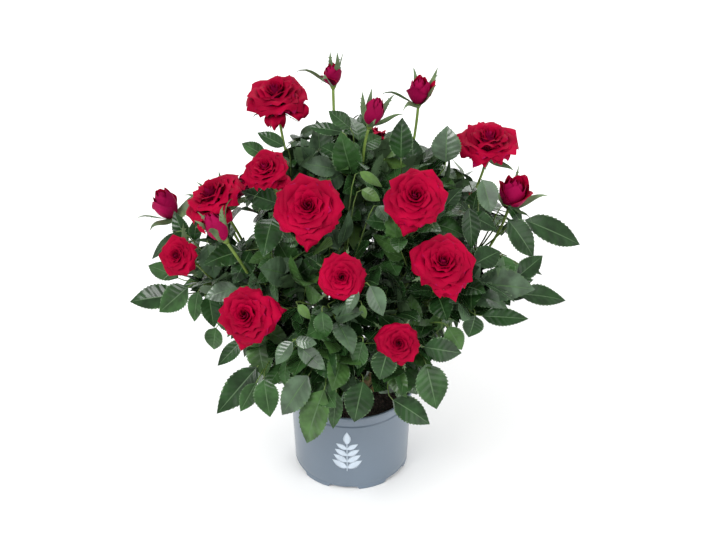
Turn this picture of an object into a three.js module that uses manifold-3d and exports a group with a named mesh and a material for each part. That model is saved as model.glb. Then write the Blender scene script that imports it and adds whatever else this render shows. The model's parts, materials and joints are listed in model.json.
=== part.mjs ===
// A red bush rose in its plastic nursery pot. Four woody canes stand in the soil. Each one forks
// into boughs, each bough ends in a mass of compound leaves, and flower stalks rise from the masses.
// Millimetres and degrees, +Z up. The origin is the centre of the pot's underside, on the ground.
// Azimuth 0 is +X and 90 is +Y, so the front of the plant is at azimuth -90.

import * as THREE from "three";
import { mergeVertices } from "three/addons/utils/BufferGeometryUtils.js";
import Module from "manifold-3d";

const wasm = await Module();
wasm.setup();

const DEG = Math.PI / 180;
const UP = new THREE.Vector3(0, 0, 1);
const CLEARANCE = 0.3;
const WELD = 1e-3; // corners this near are one
const SMOOTHING = 0.03; // joins leave slivers this thin, which are taken out
const SUNK = 1.5; // how far the root of a leaflet goes into its stalk

// ---- Driving dimensions ----

const POT = {
  rimRadius: 65,
  height: 98,
  shoulderRadius: 63, // the wall just under the rim
  baseRadius: 59,
  wall: 1.6,
  rimHeight: 6,
  feet: 6,
  footSweep: 30,
  footHeight: 4,
  footDepth: 4,
  firstFoot: -68, // azimuth of the middle of one foot
  hubRadius: 12, // a pad under the middle of the floor, level with the feet
  drainRadius: 4,
  drainRing: 38,
};
const SOIL_TOP = 86;
const SEGMENTS = 32; // round the pot and the soil

const CANE = {
  count: 4,
  firstAzimuth: -135,
  ring: 20, // how far their feet stand from the middle
  length: 42,
  lean: 16,
  flare: 1.6,
  rootRadius: 4,
  tipRadius: 3,
};
const BOUGH = { rootRadius: 2.4, tipRadius: 1.8 };
const STEM = { rootRadius: 1.7, tipRadius: 1.1 };
const TWIG = { rootRadius: 1.2, tipRadius: 0.8, length: 46 };
const STALK = { rootRadius: 1.3, tipRadius: 1.7 };
const RIB = { rootRadius: 1.3, tipRadius: 0 };

// A full-grown leaf: a stalk with a leaflet at its end and one on each side. Leaves turn out and up,
// away from the heart of the plant.
const LEAF = {
  stalk: 44,
  length: 64,
  width: 36,
  sideAt: 0.5, // where on the stalk its side leaflets are
  sideAngle: 66,
  sideSize: 0.84,
  thickness: 1.4,
  fold: 2, // how far its edges stand above its midrib
};
const HEART = new THREE.Vector3(0, 0, 165);
const SAG = 18; // how far a mass's leaves may hang below the tip of its leading leaf
const OVERREACH = 3; // and how far they may stand out past it
const UNDERSIDE_SLOPE = 0.6;

// Each mass of foliage: where the tip of its leading leaf is, and how steeply that leaf climbs.
const MASSES = [
  { name: "low_front_left", azimuth: -128, reach: 197, height: 178, pitch: -22, cane: 0 },
  { name: "low_front", azimuth: -105, reach: 188, height: 159, pitch: -30, cane: 0 },
  { name: "low_front_right", azimuth: -67, reach: 200, height: 192, pitch: -20, cane: 1 },
  { name: "low_right", azimuth: -12, reach: 213, height: 226, pitch: -6, cane: 1 },
  { name: "low_back_right", azimuth: 45, reach: 195, height: 185, pitch: -18, cane: 2 },
  { name: "low_back", azimuth: 103, reach: 192, height: 175, pitch: -20, cane: 3 },
  { name: "low_back_left", azimuth: 152, reach: 200, height: 190, pitch: -15, cane: 3 },
  { name: "left", azimuth: -171, reach: 220, height: 227, pitch: 0, cane: 0 },
  { name: "front", azimuth: -99, reach: 195, height: 230, pitch: -8, cane: 1 },
  { name: "middle_right", azimuth: -38, reach: 208, height: 264, pitch: 2, cane: 1 },
  { name: "right", azimuth: 2, reach: 230, height: 263, pitch: 6, cane: 2 },
  { name: "front_left", azimuth: -120, reach: 178, height: 315, pitch: 28, cane: 0 },
  { name: "front_right", azimuth: -34, reach: 182, height: 318, pitch: 25, cane: 1 },
  { name: "back_right", azimuth: 52, reach: 180, height: 318, pitch: 30, cane: 2 },
  { name: "back_left", azimuth: 132, reach: 180, height: 318, pitch: 30, cane: 3 },
  { name: "top", azimuth: 100, reach: 55, height: 392, pitch: 72, cane: 3 },
];

// Each flower: the middle of its petals as azimuth, reach and height, the width of its petals, the
// azimuth and pitch that it faces, and the length of its bare stalk.
const ROSES = [
  { name: "rose_top_left", at: [126, 126, 375], width: 66, faces: [-110, 80], stalk: 44 },
  { name: "rose_right", at: [27, 153, 340], width: 67, faces: [-60, 80], stalk: 44 },
  { name: "rose_upper_left", at: [-149, 90, 375], width: 47, faces: [-125, 64], stalk: 40 },
  { name: "rose_left", at: [-160, 135, 346], width: 62, faces: [-165, 62], stalk: 44 },
  { name: "rose_far_left", at: [-159, 173, 291], width: 41, faces: [-118, 36], stalk: 40 },
  { name: "rose_front_left", at: [-110, 107, 367], width: 65, faces: [-98, 48], stalk: 48 },
  { name: "rose_front_right", at: [-58, 110, 373], width: 61, faces: [-88, 50], stalk: 48 },
  { name: "rose_middle_right", at: [-57, 152, 325], width: 61, faces: [-85, 58], stalk: 48 },
  { name: "rose_middle", at: [-93, 142, 320], width: 47, faces: [-92, 36], stalk: 44 },
  { name: "rose_lower_left", at: [-124, 167, 277], width: 58, faces: [-108, 38], stalk: 44 },
  { name: "rose_lower_right", at: [-75, 167, 262], width: 42, faces: [-92, 38], stalk: 40 },
  { name: "rose_back", at: [84, 150, 300], width: 60, faces: [84, 52], stalk: 44 },
  { name: "rose_back_left", at: [128, 168, 256], width: 58, faces: [128, 42], stalk: 44 },
  { name: "rose_back_right", at: [50, 172, 248], width: 54, faces: [50, 40], stalk: 44 },
  { name: "rose_low_back", at: [104, 186, 214], width: 48, faces: [104, 30], stalk: 44 },
];
const BUDS = [
  { name: "bud_top", at: [100, 102, 392], width: 21, faces: [100, 86], stalk: 62 },
  { name: "bud_middle", at: [37, 25, 394], width: 23, faces: [0, 74], stalk: 44 },
  { name: "bud_top_right", at: [54, 114, 378], width: 26, faces: [30, 86], stalk: 66 },
  { name: "bud_right", at: [0, 154, 317], width: 31, faces: [-30, 78], stalk: 60 },
  { name: "bud_far_left", at: [173, 179, 290], width: 28, faces: [180, 68], stalk: 44 },
  { name: "bud_left", at: [-142, 149, 334], width: 24, faces: [178, 60], stalk: 44 },
  { name: "bud_back", at: [152, 150, 268], width: 28, faces: [150, 66], stalk: 44 },
];

// ---- Directions and repeatable numbers ----

function place([azimuth, reach, height]) {
  return new THREE.Vector3(reach * Math.cos(azimuth * DEG), reach * Math.sin(azimuth * DEG), height);
}

function heading(azimuth, pitch) {
  return place([azimuth, Math.cos(pitch * DEG), Math.sin(pitch * DEG)]);
}

// A number from 0 to 1 that is always the same for a mass, a station in it and a use.
function scatter(mass, station, use) {
  const wave = Math.sin(mass * 12.9898 + station * 78.233 + use * 37.719) * 43758.5453;
  return wave - Math.floor(wave);
}

const mix = (a, b, share) => a + (b - a) * share;
const along = (start, direction, distance) => start.clone().addScaledVector(direction, distance);
function blend(...terms) {
  const sum = new THREE.Vector3();
  for (const [weight, vector] of terms) sum.addScaledVector(vector, weight);
  return sum.normalize();
}
const squareTo = (vector, axis) => vector.clone().addScaledVector(axis, -vector.dot(axis)).normalize();
const bent = (start, bend, end) => new THREE.QuadraticBezierCurve3(start, bend, end);

// A direction across an axis, level where the axis allows it.
function across(axis) {
  const level = new THREE.Vector3().crossVectors(axis, UP);
  return level.length() > 0.1 ? level.normalize() : new THREE.Vector3(1, 0, 0);
}

// The direction at an angle round an axis.
function around(axis, angle) {
  const side = across(axis);
  const other = new THREE.Vector3().crossVectors(axis, side);
  return blend([Math.cos(angle * DEG), side], [Math.sin(angle * DEG), other]);
}

// ---- Solids ----

function solidOf(geometry) {
  const bare = new THREE.BufferGeometry().setAttribute("position", geometry.getAttribute("position"));
  bare.setIndex(geometry.index);
  const merged = mergeVertices(bare, WELD);
  const vertProperties = merged.attributes.position.array;
  const triVerts = new Uint32Array(merged.index.array);
  return new wasm.Manifold(new wasm.Mesh({ numProp: 3, vertProperties, triVerts }));
}

function geometryOf(solid) {
  const { vertProperties, triVerts } = solid.getMesh();
  const geometry = new THREE.BufferGeometry();
  geometry.setAttribute("position", new THREE.BufferAttribute(new Float32Array(vertProperties), 3));
  geometry.setIndex(new THREE.BufferAttribute(new Uint32Array(triVerts), 1));
  const faceted = geometry.toNonIndexed();
  faceted.computeVertexNormals();
  return faceted;
}

const fuse = (solids) => wasm.Manifold.union(solids);
const largest = (solid) => solid.decompose().sort((a, b) => b.volume() - a.volume())[0];

function overlaps(a, b) {
  const [one, two] = [a.boundingBox(), b.boundingBox()];
  const apart = [0, 1, 2].some((axis) => one.min[axis] > two.max[axis] || two.min[axis] > one.max[axis]);
  return !apart && !a.intersect(b).isEmpty();
}

// Moves every corner of a geometry to where rule sends it.
function reshape(geometry, rule) {
  const position = geometry.getAttribute("position");
  const corner = new THREE.Vector3();
  for (let i = 0; i < position.count; i++) {
    corner.fromBufferAttribute(position, i);
    position.setXYZ(i, ...rule(corner).toArray());
  }
  return geometry;
}

// A lathed profile of [radius, height] points, with +Z as its axis.
function turned(profile, segments) {
  const points = profile.map(([radius, height]) => new THREE.Vector2(radius, height));
  return new THREE.LatheGeometry(points, segments).rotateX(Math.PI / 2);
}

// A tapering limb with flat ends along part of a curve. radiusAt takes the share of its length.
function limb(curve, from, to, radiusAt, sides, steps) {
  const fixed = across(curve.getPoint(to).sub(curve.getPoint(from)).normalize());
  const tube = new THREE.CylinderGeometry(1, 1, 1, sides, steps);
  return solidOf(
    reshape(tube, ({ x, y, z }) => {
      const share = y + 0.5;
      const radius = radiusAt(share);
      const tangent = curve.getTangent(mix(from, to, share));
      const side = squareTo(fixed, tangent);
      const other = new THREE.Vector3().crossVectors(side, tangent);
      return along(along(curve.getPoint(mix(from, to, share)), side, x * radius), other, z * radius);
    }),
  );
}

function taper({ rootRadius, tipRadius }, margin = 0) {
  return (share) => mix(rootRadius, tipRadius, share) + margin;
}

// A leaflet: a diamond blade of eight faces, thick at its midrib and folded up to both edges.
function bladeSolid({ root, direction, normal, length, width }) {
  const side = new THREE.Vector3().crossVectors(normal, direction);
  const widest = 0.42;
  return solidOf(
    reshape(new THREE.OctahedronGeometry(1, 0), ({ x, y, z }) => {
      const forward = length * (x < -0.5 ? 0 : x > 0.5 ? 1 : widest);
      const lift = (z * LEAF.thickness) / 2 + Math.abs(y) * LEAF.fold;
      return along(along(along(root, direction, forward), side, (y * width) / 2), normal, lift);
    }),
  );
}

// ---- Pot and soil ----

const potRadiusAt = (height) => mix(POT.baseRadius, POT.shoulderRadius, height / POT.height);

function pot() {
  const { rimRadius, height, wall, rimHeight, footHeight, footDepth, baseRadius, hubRadius } = POT;
  const floorTop = footHeight + wall;
  const shoulder = height - rimHeight;
  const shell = turned(
    [
      [0, footHeight],
      [baseRadius - footDepth, footHeight],
      [baseRadius - footDepth, 0],
      [baseRadius, 0],
      [potRadiusAt(shoulder), shoulder],
      [rimRadius, shoulder + 1],
      [rimRadius, height - 1],
      [rimRadius - 1, height],
      [potRadiusAt(height) - wall, height],
      [potRadiusAt(floorTop) - wall, floorTop],
      [0, floorTop],
    ],
    SEGMENTS,
  );
  const hubHeight = footHeight + wall / 2;
  const hub = new THREE.CylinderGeometry(hubRadius, hubRadius, hubHeight, SEGMENTS / 2);
  hub.rotateX(Math.PI / 2).translate(0, 0, hubHeight / 2);
  const cuts = [];
  const sweep = 360 / POT.feet - POT.footSweep;
  for (let i = 0; i < POT.feet; i++) {
    const middle = POT.firstFoot + (i + 0.5) * (360 / POT.feet);
    const inner = baseRadius - 2 * footDepth;
    const near = [sweep / 2, -sweep / 2].map((turn) => place([middle + turn, inner, 0]));
    const far = [-sweep / 2, 0, sweep / 2].map((turn) => place([middle + turn, rimRadius * 1.1, 0]));
    const outline = new THREE.Shape([...near, ...far].map(({ x, y }) => new THREE.Vector2(x, y)));
    const notch = new THREE.ExtrudeGeometry(outline, { depth: footHeight + 1, bevelEnabled: false });
    const drain = new THREE.CylinderGeometry(POT.drainRadius, POT.drainRadius, 3 * wall, 6);
    const { x, y } = place([middle, POT.drainRing, 0]);
    cuts.push(solidOf(notch.translate(0, 0, -1)));
    cuts.push(solidOf(drain.rotateX(Math.PI / 2).translate(x, y, footHeight + wall / 2)));
  }
  return solidOf(shell).add(solidOf(hub)).subtract(fuse(cuts));
}

function soil() {
  const bottom = POT.footHeight + POT.wall + CLEARANCE;
  const fit = (height) => potRadiusAt(height) - POT.wall - CLEARANCE;
  const profile = [
    [0, bottom],
    [fit(bottom), bottom],
    [fit(SOIL_TOP - 3), SOIL_TOP - 3],
    [fit(SOIL_TOP) - 6, SOIL_TOP],
    [0, SOIL_TOP],
  ];
  return solidOf(turned(profile, SEGMENTS));
}

// ---- Canes and boughs ----

function caneCurve(index) {
  const azimuth = CANE.firstAzimuth + (index * 360) / CANE.count;
  const foot = place([azimuth, CANE.ring, SOIL_TOP + CLEARANCE]);
  const tip = along(foot, heading(azimuth, 90 - CANE.lean), CANE.length);
  return bent(foot, along(foot, UP, CANE.length / 2), tip);
}

// A cane flares at the soil, then tapers evenly.
const FLARE_HEIGHT = 0.2; // as a share of the cane
const caneRadius = (margin) => (share) =>
  taper(CANE, margin)(share) + CANE.flare * Math.max(0, 1 - share / FLARE_HEIGHT) ** 2;

const canes = Array.from({ length: CANE.count }, (_, index) => caneCurve(index));

for (const [index, mass] of MASSES.entries()) {
  mass.index = index;
  mass.direction = heading(mass.azimuth, mass.pitch);
  mass.tip = place([mass.azimuth, mass.reach, mass.height]);
  mass.end = along(mass.tip, mass.direction, -LEAF.stalk - LEAF.length);
  mass.site = along(mass.end, mass.direction, 0.2 * LEAF.stalk);
  mass.lowest = mass.height - SAG - (LEAF.stalk + LEAF.length) * Math.max(0, mass.direction.z);
  mass.flowers = [];
}

// The line of each mass: a bough from its cane, then the mass's own stem, up to the leading leaf.
// The highest mass of a cane leads it on from its tip, and the others fork from its side.
for (const [index, curve] of canes.entries()) {
  const own = MASSES.filter((mass) => mass.cane === index).sort((a, b) => a.height - b.height);
  own.forEach((mass, rank) => {
    mass.leads = rank === own.length - 1;
    const share = mass.leads ? 1 : mix(0.3, 0.8, rank / (own.length - 2));
    const tangent = curve.getTangent(share);
    const start = mass.leads ? along(curve.getPoint(1), tangent, CLEARANCE) : curve.getPoint(share);
    const leaves = mass.leads ? tangent : heading(mass.azimuth, 60 * share);
    const span = start.distanceTo(mass.end);
    const ends = along(mass.end, blend([0.6, mass.direction], [0.4, UP]), -0.4 * span);
    mass.line = new THREE.CubicBezierCurve3(start, along(start, leaves, 0.35 * span), ends, mass.end);
  });
}

// How far a point is inside a mass's own space. That is what lies nearer to the mass than to any
// other, no further out than the tip of its leading leaf, and above the slope of the crown's
// underside, which climbs from the pot to a little below that tip.
function depthInSpace(point, mass) {
  const own = point.distanceToSquared(mass.site);
  const depths = MASSES.filter((other) => other !== mass).map(
    (other) => (point.distanceToSquared(other.site) - own) / (2 * mass.site.distanceTo(other.site)),
  );
  const outside = mass.direction.dot(point.clone().sub(mass.tip));
  const floor = mass.lowest + UNDERSIDE_SLOPE * (Math.hypot(point.x, point.y) - mass.reach);
  return Math.min(...depths, OVERREACH - outside, point.z - floor);
}

// A mass begins where its line enters its space.
for (const mass of MASSES) {
  mass.entry = 1;
  const isInside = (share) => depthInSpace(mass.line.getPoint(share), mass) > 3;
  while (mass.entry > 0.3 && isInside(mass.entry - 0.02)) mass.entry -= 0.02;
}

const cane = (index) => limb(canes[index], 0, 1, caneRadius(0), 8, 4);

// A bough, cut clear of its cane and of the boughs that lead before it.
function bough(mass) {
  const boughOf = ({ line, entry }, margin) => limb(line, 0, entry, taper(BOUGH, margin), 5, 4);
  const before = MASSES.filter((other) => other.cane === mass.cane && other.height > mass.height);
  const ownCane = limb(canes[mass.cane], 0, 1, caneRadius(CLEARANCE), 8, 4);
  const leading = before.map((other) => boughOf(other, CLEARANCE));
  const whole = boughOf(mass, 0);
  return mass.leads ? whole : largest(whole.subtract(fuse([ownCane, ...leading])));
}

// ---- Flowers ----

const FLOWERS = [
  ...ROSES.map((rose) => ({ ...rose, open: true })),
  ...BUDS.map((bud) => ({ ...bud, open: false })),
];

// Each flower stands on a bare stalk, and belongs to the mass that is nearest to the stalk's foot.
for (const flower of FLOWERS) {
  flower.middle = place(flower.at);
  flower.axis = heading(...flower.faces);
  flower.radius = flower.width / 2;
  flower.depth = flower.open ? 0.6 * flower.radius : 0.9 * flower.radius;
  const base = along(flower.middle, flower.axis, -flower.depth);
  const outward = base.clone().sub(HEART).normalize();
  const foot = along(base, blend([0.5, flower.axis], [0.5, outward], [0.35, UP]), -flower.stalk);
  flower.stalkLine = bent(foot, along(base, flower.axis, -0.45 * flower.stalk), base);
  flower.mass = [...MASSES].sort((a, b) => foot.distanceTo(a.site) - foot.distanceTo(b.site))[0];
  flower.mass.flowers.push(flower);
}

// The twig of a mass that carries a flower's stalk, ending just short of it.
for (const mass of MASSES) {
  mass.flowers.forEach((flower, rank) => {
    const share = mix(0.35, 0.8, rank / Math.max(1, mass.flowers.length - 1));
    const start = mass.line.getPoint(mix(mass.entry, 1, share));
    const heads = flower.stalkLine.getTangent(0);
    const end = along(flower.stalkLine.getPoint(0), heads, -CLEARANCE);
    flower.twig = bent(start, along(end, heads, -0.3 * start.distanceTo(end)), end);
  });
}

// Rings of a flower from its hip to its heart: radius and height as shares of the flower's radius,
// how far five petals stand out of the ring, and how far round the ring is turned, in petals.
const OPEN_RINGS = [
  { radius: 0, height: -0.66, petals: 0, turn: 0 },
  { radius: 0.3, height: -0.58, petals: 0, turn: 0 },
  { radius: 0.91, height: -0.26, petals: 0.09, turn: 0 },
  { radius: 0.82, height: -0.02, petals: 0.03, turn: 0 },
  { radius: 0.64, height: -0.04, petals: 0.04, turn: 0.5 },
  { radius: 0.54, height: 0.22, petals: 0.04, turn: 0.5 },
  { radius: 0.34, height: 0.1, petals: 0.03, turn: 0 },
  { radius: 0, height: 0.26, petals: 0, turn: 0 },
];
const BUD_RINGS = [
  { radius: 0, height: -1, petals: 0, turn: 0 },
  { radius: 0.72, height: -0.5, petals: 0.06, turn: 0 },
  { radius: 0.86, height: 0.2, petals: 0.08, turn: 0.2 },
  { radius: 0.5, height: 0.9, petals: 0.12, turn: 0.45 },
  { radius: 0, height: 1.1, petals: 0, turn: 0 },
];
const PETALS = 5;

function petalled(rings, radius, segments) {
  const profile = rings.map((ring, index) => [ring.radius === 0 ? 0 : index, ring.height * radius]);
  return reshape(turned(profile, segments), ({ x, y, z }) => {
    const index = Math.round(Math.hypot(x, y));
    if (index === 0) return new THREE.Vector3(0, 0, z);
    const { radius: share, petals, turn } = rings[index];
    const angle = Math.atan2(y, x);
    const reach = radius * (share + petals * Math.cos(PETALS * angle + turn * 2 * Math.PI));
    return new THREE.Vector3(reach * Math.cos(angle), reach * Math.sin(angle), z);
  });
}

// Five narrow sepals that stand up round a bud.
function sepals({ radius }) {
  return Array.from({ length: PETALS }, (_, index) => {
    const direction = heading((index * 360) / PETALS + 20, 48);
    const root = along(new THREE.Vector3(0, 0, -0.8 * radius), direction, 0.1 * radius);
    const length = 10 + 0.7 * radius;
    const normal = squareTo(UP, direction).negate();
    return bladeSolid({ root, direction, normal, length, width: 0.3 * length });
  });
}

// A flower, fused to its stalk, whose tip is sunk in the flower's hip.
function flowerSolid(flower) {
  const turn = new THREE.Quaternion().setFromUnitVectors(UP, flower.axis);
  const frame = new THREE.Matrix4().compose(flower.middle, turn, new THREE.Vector3(1, 1, 1));
  const head = flower.open
    ? [solidOf(petalled(OPEN_RINGS, flower.radius, 3 * PETALS))]
    : [solidOf(petalled(BUD_RINGS, flower.radius, 2 * PETALS)), ...sepals(flower)];
  const { v0, v1, v2 } = flower.stalkLine;
  const stalk = limb(bent(v0, v1, along(v2, flower.axis, flower.depth / 4)), 0, 1, taper(STALK), 4, 3);
  return largest(fuse([stalk, ...head.map((solid) => solid.transform(frame.elements))]));
}

// ---- What foliage keeps clear of ----

const MARGIN = 0.8;
const obstacles = [
  ...canes.map((curve) => ({ solid: limb(curve, 0, 1, caneRadius(MARGIN), 6, 3) })),
  ...MASSES.map((mass) => ({ mass, solid: limb(mass.line, 0, 1, taper(BOUGH, MARGIN), 5, 8) })),
  ...FLOWERS.map(({ stalkLine }) => ({ solid: limb(stalkLine, 0, 1, taper(STALK, MARGIN), 5, 4) })),
  ...FLOWERS.map(({ mass, twig }) => ({ mass, solid: limb(twig, 0, 1, taper(TWIG, MARGIN), 4, 4) })),
];

// Whether a solid is clear of every limb, but for those of the masses that it belongs to.
const clearOfLimbs = (solid, exempt) =>
  !obstacles.some((other) => !exempt.includes(other.mass) && overlaps(solid, other.solid));

// Balls round the flowers, and in front of the open ones, so that no leaf covers a flower.
const balls = FLOWERS.flatMap(({ middle, axis, radius, open }) => {
  const round = { middle, radius: 1.08 * radius };
  return open ? [round, { middle: along(middle, axis, 0.6 * radius), radius: 0.85 * radius }] : [round];
});

// Whether points of a twig or leaf are inside their mass's space, clear of the flowers and the pot.
function inTheOpen(points, mass) {
  const isClear = (point) =>
    (Math.hypot(point.x, point.y) > POT.rimRadius + 2 * MARGIN || point.z > POT.height + 2 * MARGIN) &&
    balls.every(({ middle, radius }) => middle.distanceTo(point) > radius + MARGIN);
  return points.every((point) => depthInSpace(point, mass) > 1.5 && isClear(point));
}

// ---- Foliage ----

// The leaf that a station carries: the curve of its stalk, and its leaflets.
function layLeaf(mass, { point, tangent }, number, turn) {
  const leads = number === 0;
  const size = leads ? 1 : mix(0.72, 0.98, scatter(mass.index, number, 1));
  const round = around(tangent, number * 137.5 + turn + 30 * scatter(mass.index, number, 2));
  const outward = point.clone().sub(HEART).normalize();
  const leading = blend([1, mass.direction], [turn === 0 ? 0 : 0.3, round]);
  const direction = leads ? leading : blend([0.8, round], [0.35, tangent], [0.4, outward]);
  const level = Math.hypot(direction.x, direction.y);
  const droop = leads ? 0 : level * mix(0.1, 0.4, scatter(mass.index, number, 3));
  const reach = LEAF.stalk * size;
  const end = along(along(point, direction, reach), UP, -droop * reach);
  const stalk = bent(point, along(point, direction, reach / 2), end);
  const facing = blend([0.75, outward], [0.65, UP]);
  const blade = (at, swing, share) => {
    const tangentAt = stalk.getTangent(at);
    const normal = squareTo(facing, tangentAt);
    const wing = new THREE.Vector3().crossVectors(normal, tangentAt);
    const forward = blend([Math.cos(swing * DEG), tangentAt], [Math.sin(swing * DEG), wing]);
    return {
      root: along(stalk.getPoint(at), forward, -SUNK),
      direction: forward,
      normal,
      length: LEAF.length * size * share + SUNK,
      width: LEAF.width * size * share,
    };
  };
  const sides = [-1, 1].map((way) => blade(LEAF.sideAt, way * LEAF.sideAngle, LEAF.sideSize));
  return { stalk, blades: [blade(0.85, 0, 1), ...sides] };
}

// Corners and inner points of a leaflet.
function bladePoints({ root, direction, normal, length, width }) {
  const side = new THREE.Vector3().crossVectors(normal, direction);
  const places = [
    [0.2, 0],
    [0.42, -0.5],
    [0.42, 0.5],
    [0.7, 0],
    [1, 0],
  ];
  return places.map(([forward, out]) => along(along(root, direction, forward * length), side, out * width));
}

const pointsAlong = (curve) => [0.3, 0.55, 0.8, 1].map((share) => curve.getPoint(share));

// The turns that a twig or leaf tries round its stem, in degrees, until one leaves it clear.
const TURNS = [0, 45, -45, 90, -90, 135, -135, 180];
const TWIG_STARTS = [0.15, 0.35, 0.6, 0.85];
const STATIONS = { stem: [0.12, 0.35, 0.65, 0.85], twig: [1, 0.4, 0.7], flowerTwig: [0.35, 0.6, 0.85] };
const MOST_LEAVES = 9; // on one mass

// The twigs that a mass grows from its stem, besides those that carry flowers.
function growTwigs(mass) {
  return TWIG_STARTS.flatMap((share, rank) => {
    const at = mix(mass.entry, 1, share);
    const start = mass.line.getPoint(at);
    const tangent = mass.line.getTangent(at);
    const outward = start.clone().sub(HEART).normalize();
    const length = TWIG.length * mix(0.8, 1.1, scatter(mass.index, rank, 5));
    for (const turn of TURNS) {
      const round = around(tangent, rank * 137.5 + turn + 360 * scatter(mass.index, rank, 4));
      const heads = blend([0.9, round], [0.4, tangent], [0.3, outward]);
      const middle = along(start, blend([0.6, heads], [0.5, tangent]), length / 2);
      const line = bent(start, middle, along(start, heads, length));
      const solid = limb(line, 0, 1, taper(TWIG), 3, 2);
      if (inTheOpen(pointsAlong(line), mass) && clearOfLimbs(solid, [mass])) return [{ line, solid }];
    }
    return [];
  });
}

function foliage(mass) {
  const twigs = growTwigs(mass);
  const limbOf = (line) => ({ line, solid: limb(line, 0, 1, taper(TWIG), 3, 2) });
  const carriers = mass.flowers.map(({ twig }) => limbOf(twig));
  const stationsOn = (line, from, shares) =>
    shares.map((share) => {
      const at = mix(from, 1, share);
      return { point: line.getPoint(at), tangent: line.getTangent(at) };
    });
  const stations = [
    ...stationsOn(mass.line, 0, [1]),
    ...twigs.flatMap(({ line }) => stationsOn(line, 0, STATIONS.twig)),
    ...carriers.flatMap(({ line }) => stationsOn(line, 0, STATIONS.flowerTwig)),
    ...stationsOn(mass.line, mass.entry, STATIONS.stem),
  ];
  const leaves = [];
  const clearOfLeaves = (solid) => !leaves.flat().some((other) => overlaps(solid, other));
  const fits = (blade) => {
    const solid = bladeSolid(blade);
    const clearOfTwigs = !twigs.some((twig) => overlaps(solid, twig.solid));
    const clear = clearOfTwigs && clearOfLimbs(solid, []) && clearOfLeaves(solid);
    return clear && inTheOpen(bladePoints(blade), mass);
  };
  stations.forEach((station, number) => {
    if (leaves.length === MOST_LEAVES) return;
    for (const turn of TURNS) {
      const { stalk, blades } = layLeaf(mass, station, number, turn);
      const rib = limb(stalk, 0, 1, taper(RIB), 3, 1);
      const ribClear = clearOfLimbs(rib, [mass]) && clearOfLeaves(rib);
      const ribFits = ribClear && inTheOpen(pointsAlong(stalk), mass);
      const kept = ribFits && fits(blades[0]) ? blades.filter(fits) : [];
      if (kept.length > 1) {
        leaves.push([rib, ...kept.map(bladeSolid)]);
        return;
      }
    }
  });
  const pad = (1.2 * CLEARANCE) / mass.line.getLength();
  const stem = limb(mass.line, mass.entry + pad, 1, taper(STEM), 4, 3);
  return largest(fuse([stem, ...[...twigs, ...carriers].map(({ solid }) => solid), ...leaves.flat()]));
}

// ---- The plant ----

const FINISHES = {
  plastic: { color: 0x8f98a1, roughness: 0.45 },
  soil: { color: 0x2b211b, roughness: 1 },
  bark: { color: 0x6b5a3c, roughness: 0.85 },
  shoot: { color: 0x5f8a34, roughness: 0.6 },
  leaf: { color: 0x2f5a2c, roughness: 0.45 },
  petal: { color: 0xb5082c, roughness: 0.7 },
};
const materials = {};
for (const [name, look] of Object.entries(FINISHES)) {
  materials[name] = new THREE.MeshStandardMaterial({ ...look, metalness: 0 });
}

const plant = new THREE.Group();
function add(name, solid, finish) {
  const welded = largest(solidOf(geometryOf(solid.simplify(SMOOTHING))));
  const mesh = new THREE.Mesh(geometryOf(welded), materials[finish]);
  mesh.name = name;
  plant.add(mesh);
}

add("pot", pot(), "plastic");
add("soil", soil(), "soil");
canes.forEach((_, index) => add(`cane_${index + 1}`, cane(index), "bark"));
for (const mass of MASSES) add(`bough_${mass.name}`, bough(mass), "shoot");
for (const mass of MASSES) add(`foliage_${mass.name}`, foliage(mass), "leaf");
for (const flower of FLOWERS) add(flower.name, flowerSolid(flower), "petal");

export default plant;
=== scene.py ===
"""A red bush rose in its nursery pot: the looks that go over its solids.

The plant grows by the same rule as its solids. Canes fork into boughs, each bough ends in a mass of
foliage, and twigs in the mass carry compound leaves of five toothed leaflets. Flower stalks rise from
the masses. Shapes are worked out in millimetres and become metres when they are put into a mesh.
"""

import itertools
import json
import math
from types import SimpleNamespace

import bpy
import numpy as np
from bpy.props import FloatProperty, FloatVectorProperty, IntProperty, PointerProperty
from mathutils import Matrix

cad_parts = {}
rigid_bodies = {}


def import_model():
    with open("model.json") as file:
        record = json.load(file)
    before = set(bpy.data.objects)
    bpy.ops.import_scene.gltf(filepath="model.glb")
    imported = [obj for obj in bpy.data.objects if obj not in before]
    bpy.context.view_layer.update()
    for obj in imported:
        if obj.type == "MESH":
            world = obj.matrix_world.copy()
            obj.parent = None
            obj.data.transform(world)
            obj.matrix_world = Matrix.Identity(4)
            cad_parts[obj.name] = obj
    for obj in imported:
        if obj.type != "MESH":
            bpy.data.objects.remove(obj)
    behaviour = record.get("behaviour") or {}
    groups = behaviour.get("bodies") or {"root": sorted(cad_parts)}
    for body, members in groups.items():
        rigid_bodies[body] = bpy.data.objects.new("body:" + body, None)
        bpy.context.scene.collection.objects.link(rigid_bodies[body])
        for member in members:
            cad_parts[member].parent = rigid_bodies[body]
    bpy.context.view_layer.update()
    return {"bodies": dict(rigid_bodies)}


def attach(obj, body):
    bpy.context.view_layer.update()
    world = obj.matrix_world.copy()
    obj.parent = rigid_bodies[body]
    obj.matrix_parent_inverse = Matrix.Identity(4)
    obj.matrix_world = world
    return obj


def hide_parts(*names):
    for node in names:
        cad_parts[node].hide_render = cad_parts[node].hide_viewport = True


bl_info = {
    "name": "Potted bush rose",
    "version": (1, 0, 0),
    "blender": (4, 5, 0),
    "location": "3D View > Sidebar > Rose",
    "description": "Builds a red bush rose in a nursery pot",
    "category": "Object",
}

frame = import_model()

MM = 0.001
UP = np.array([0.0, 0.0, 1.0])
GOLDEN = 137.5  # degrees from one leaf or petal to the next
CLEARANCE = 0.3  # between parts that sit against each other
HEART = np.array([0.0, 0.0, 165.0])  # the point that twigs, leaves and flowers turn away from
SOIL_TOP = 86.0

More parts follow.
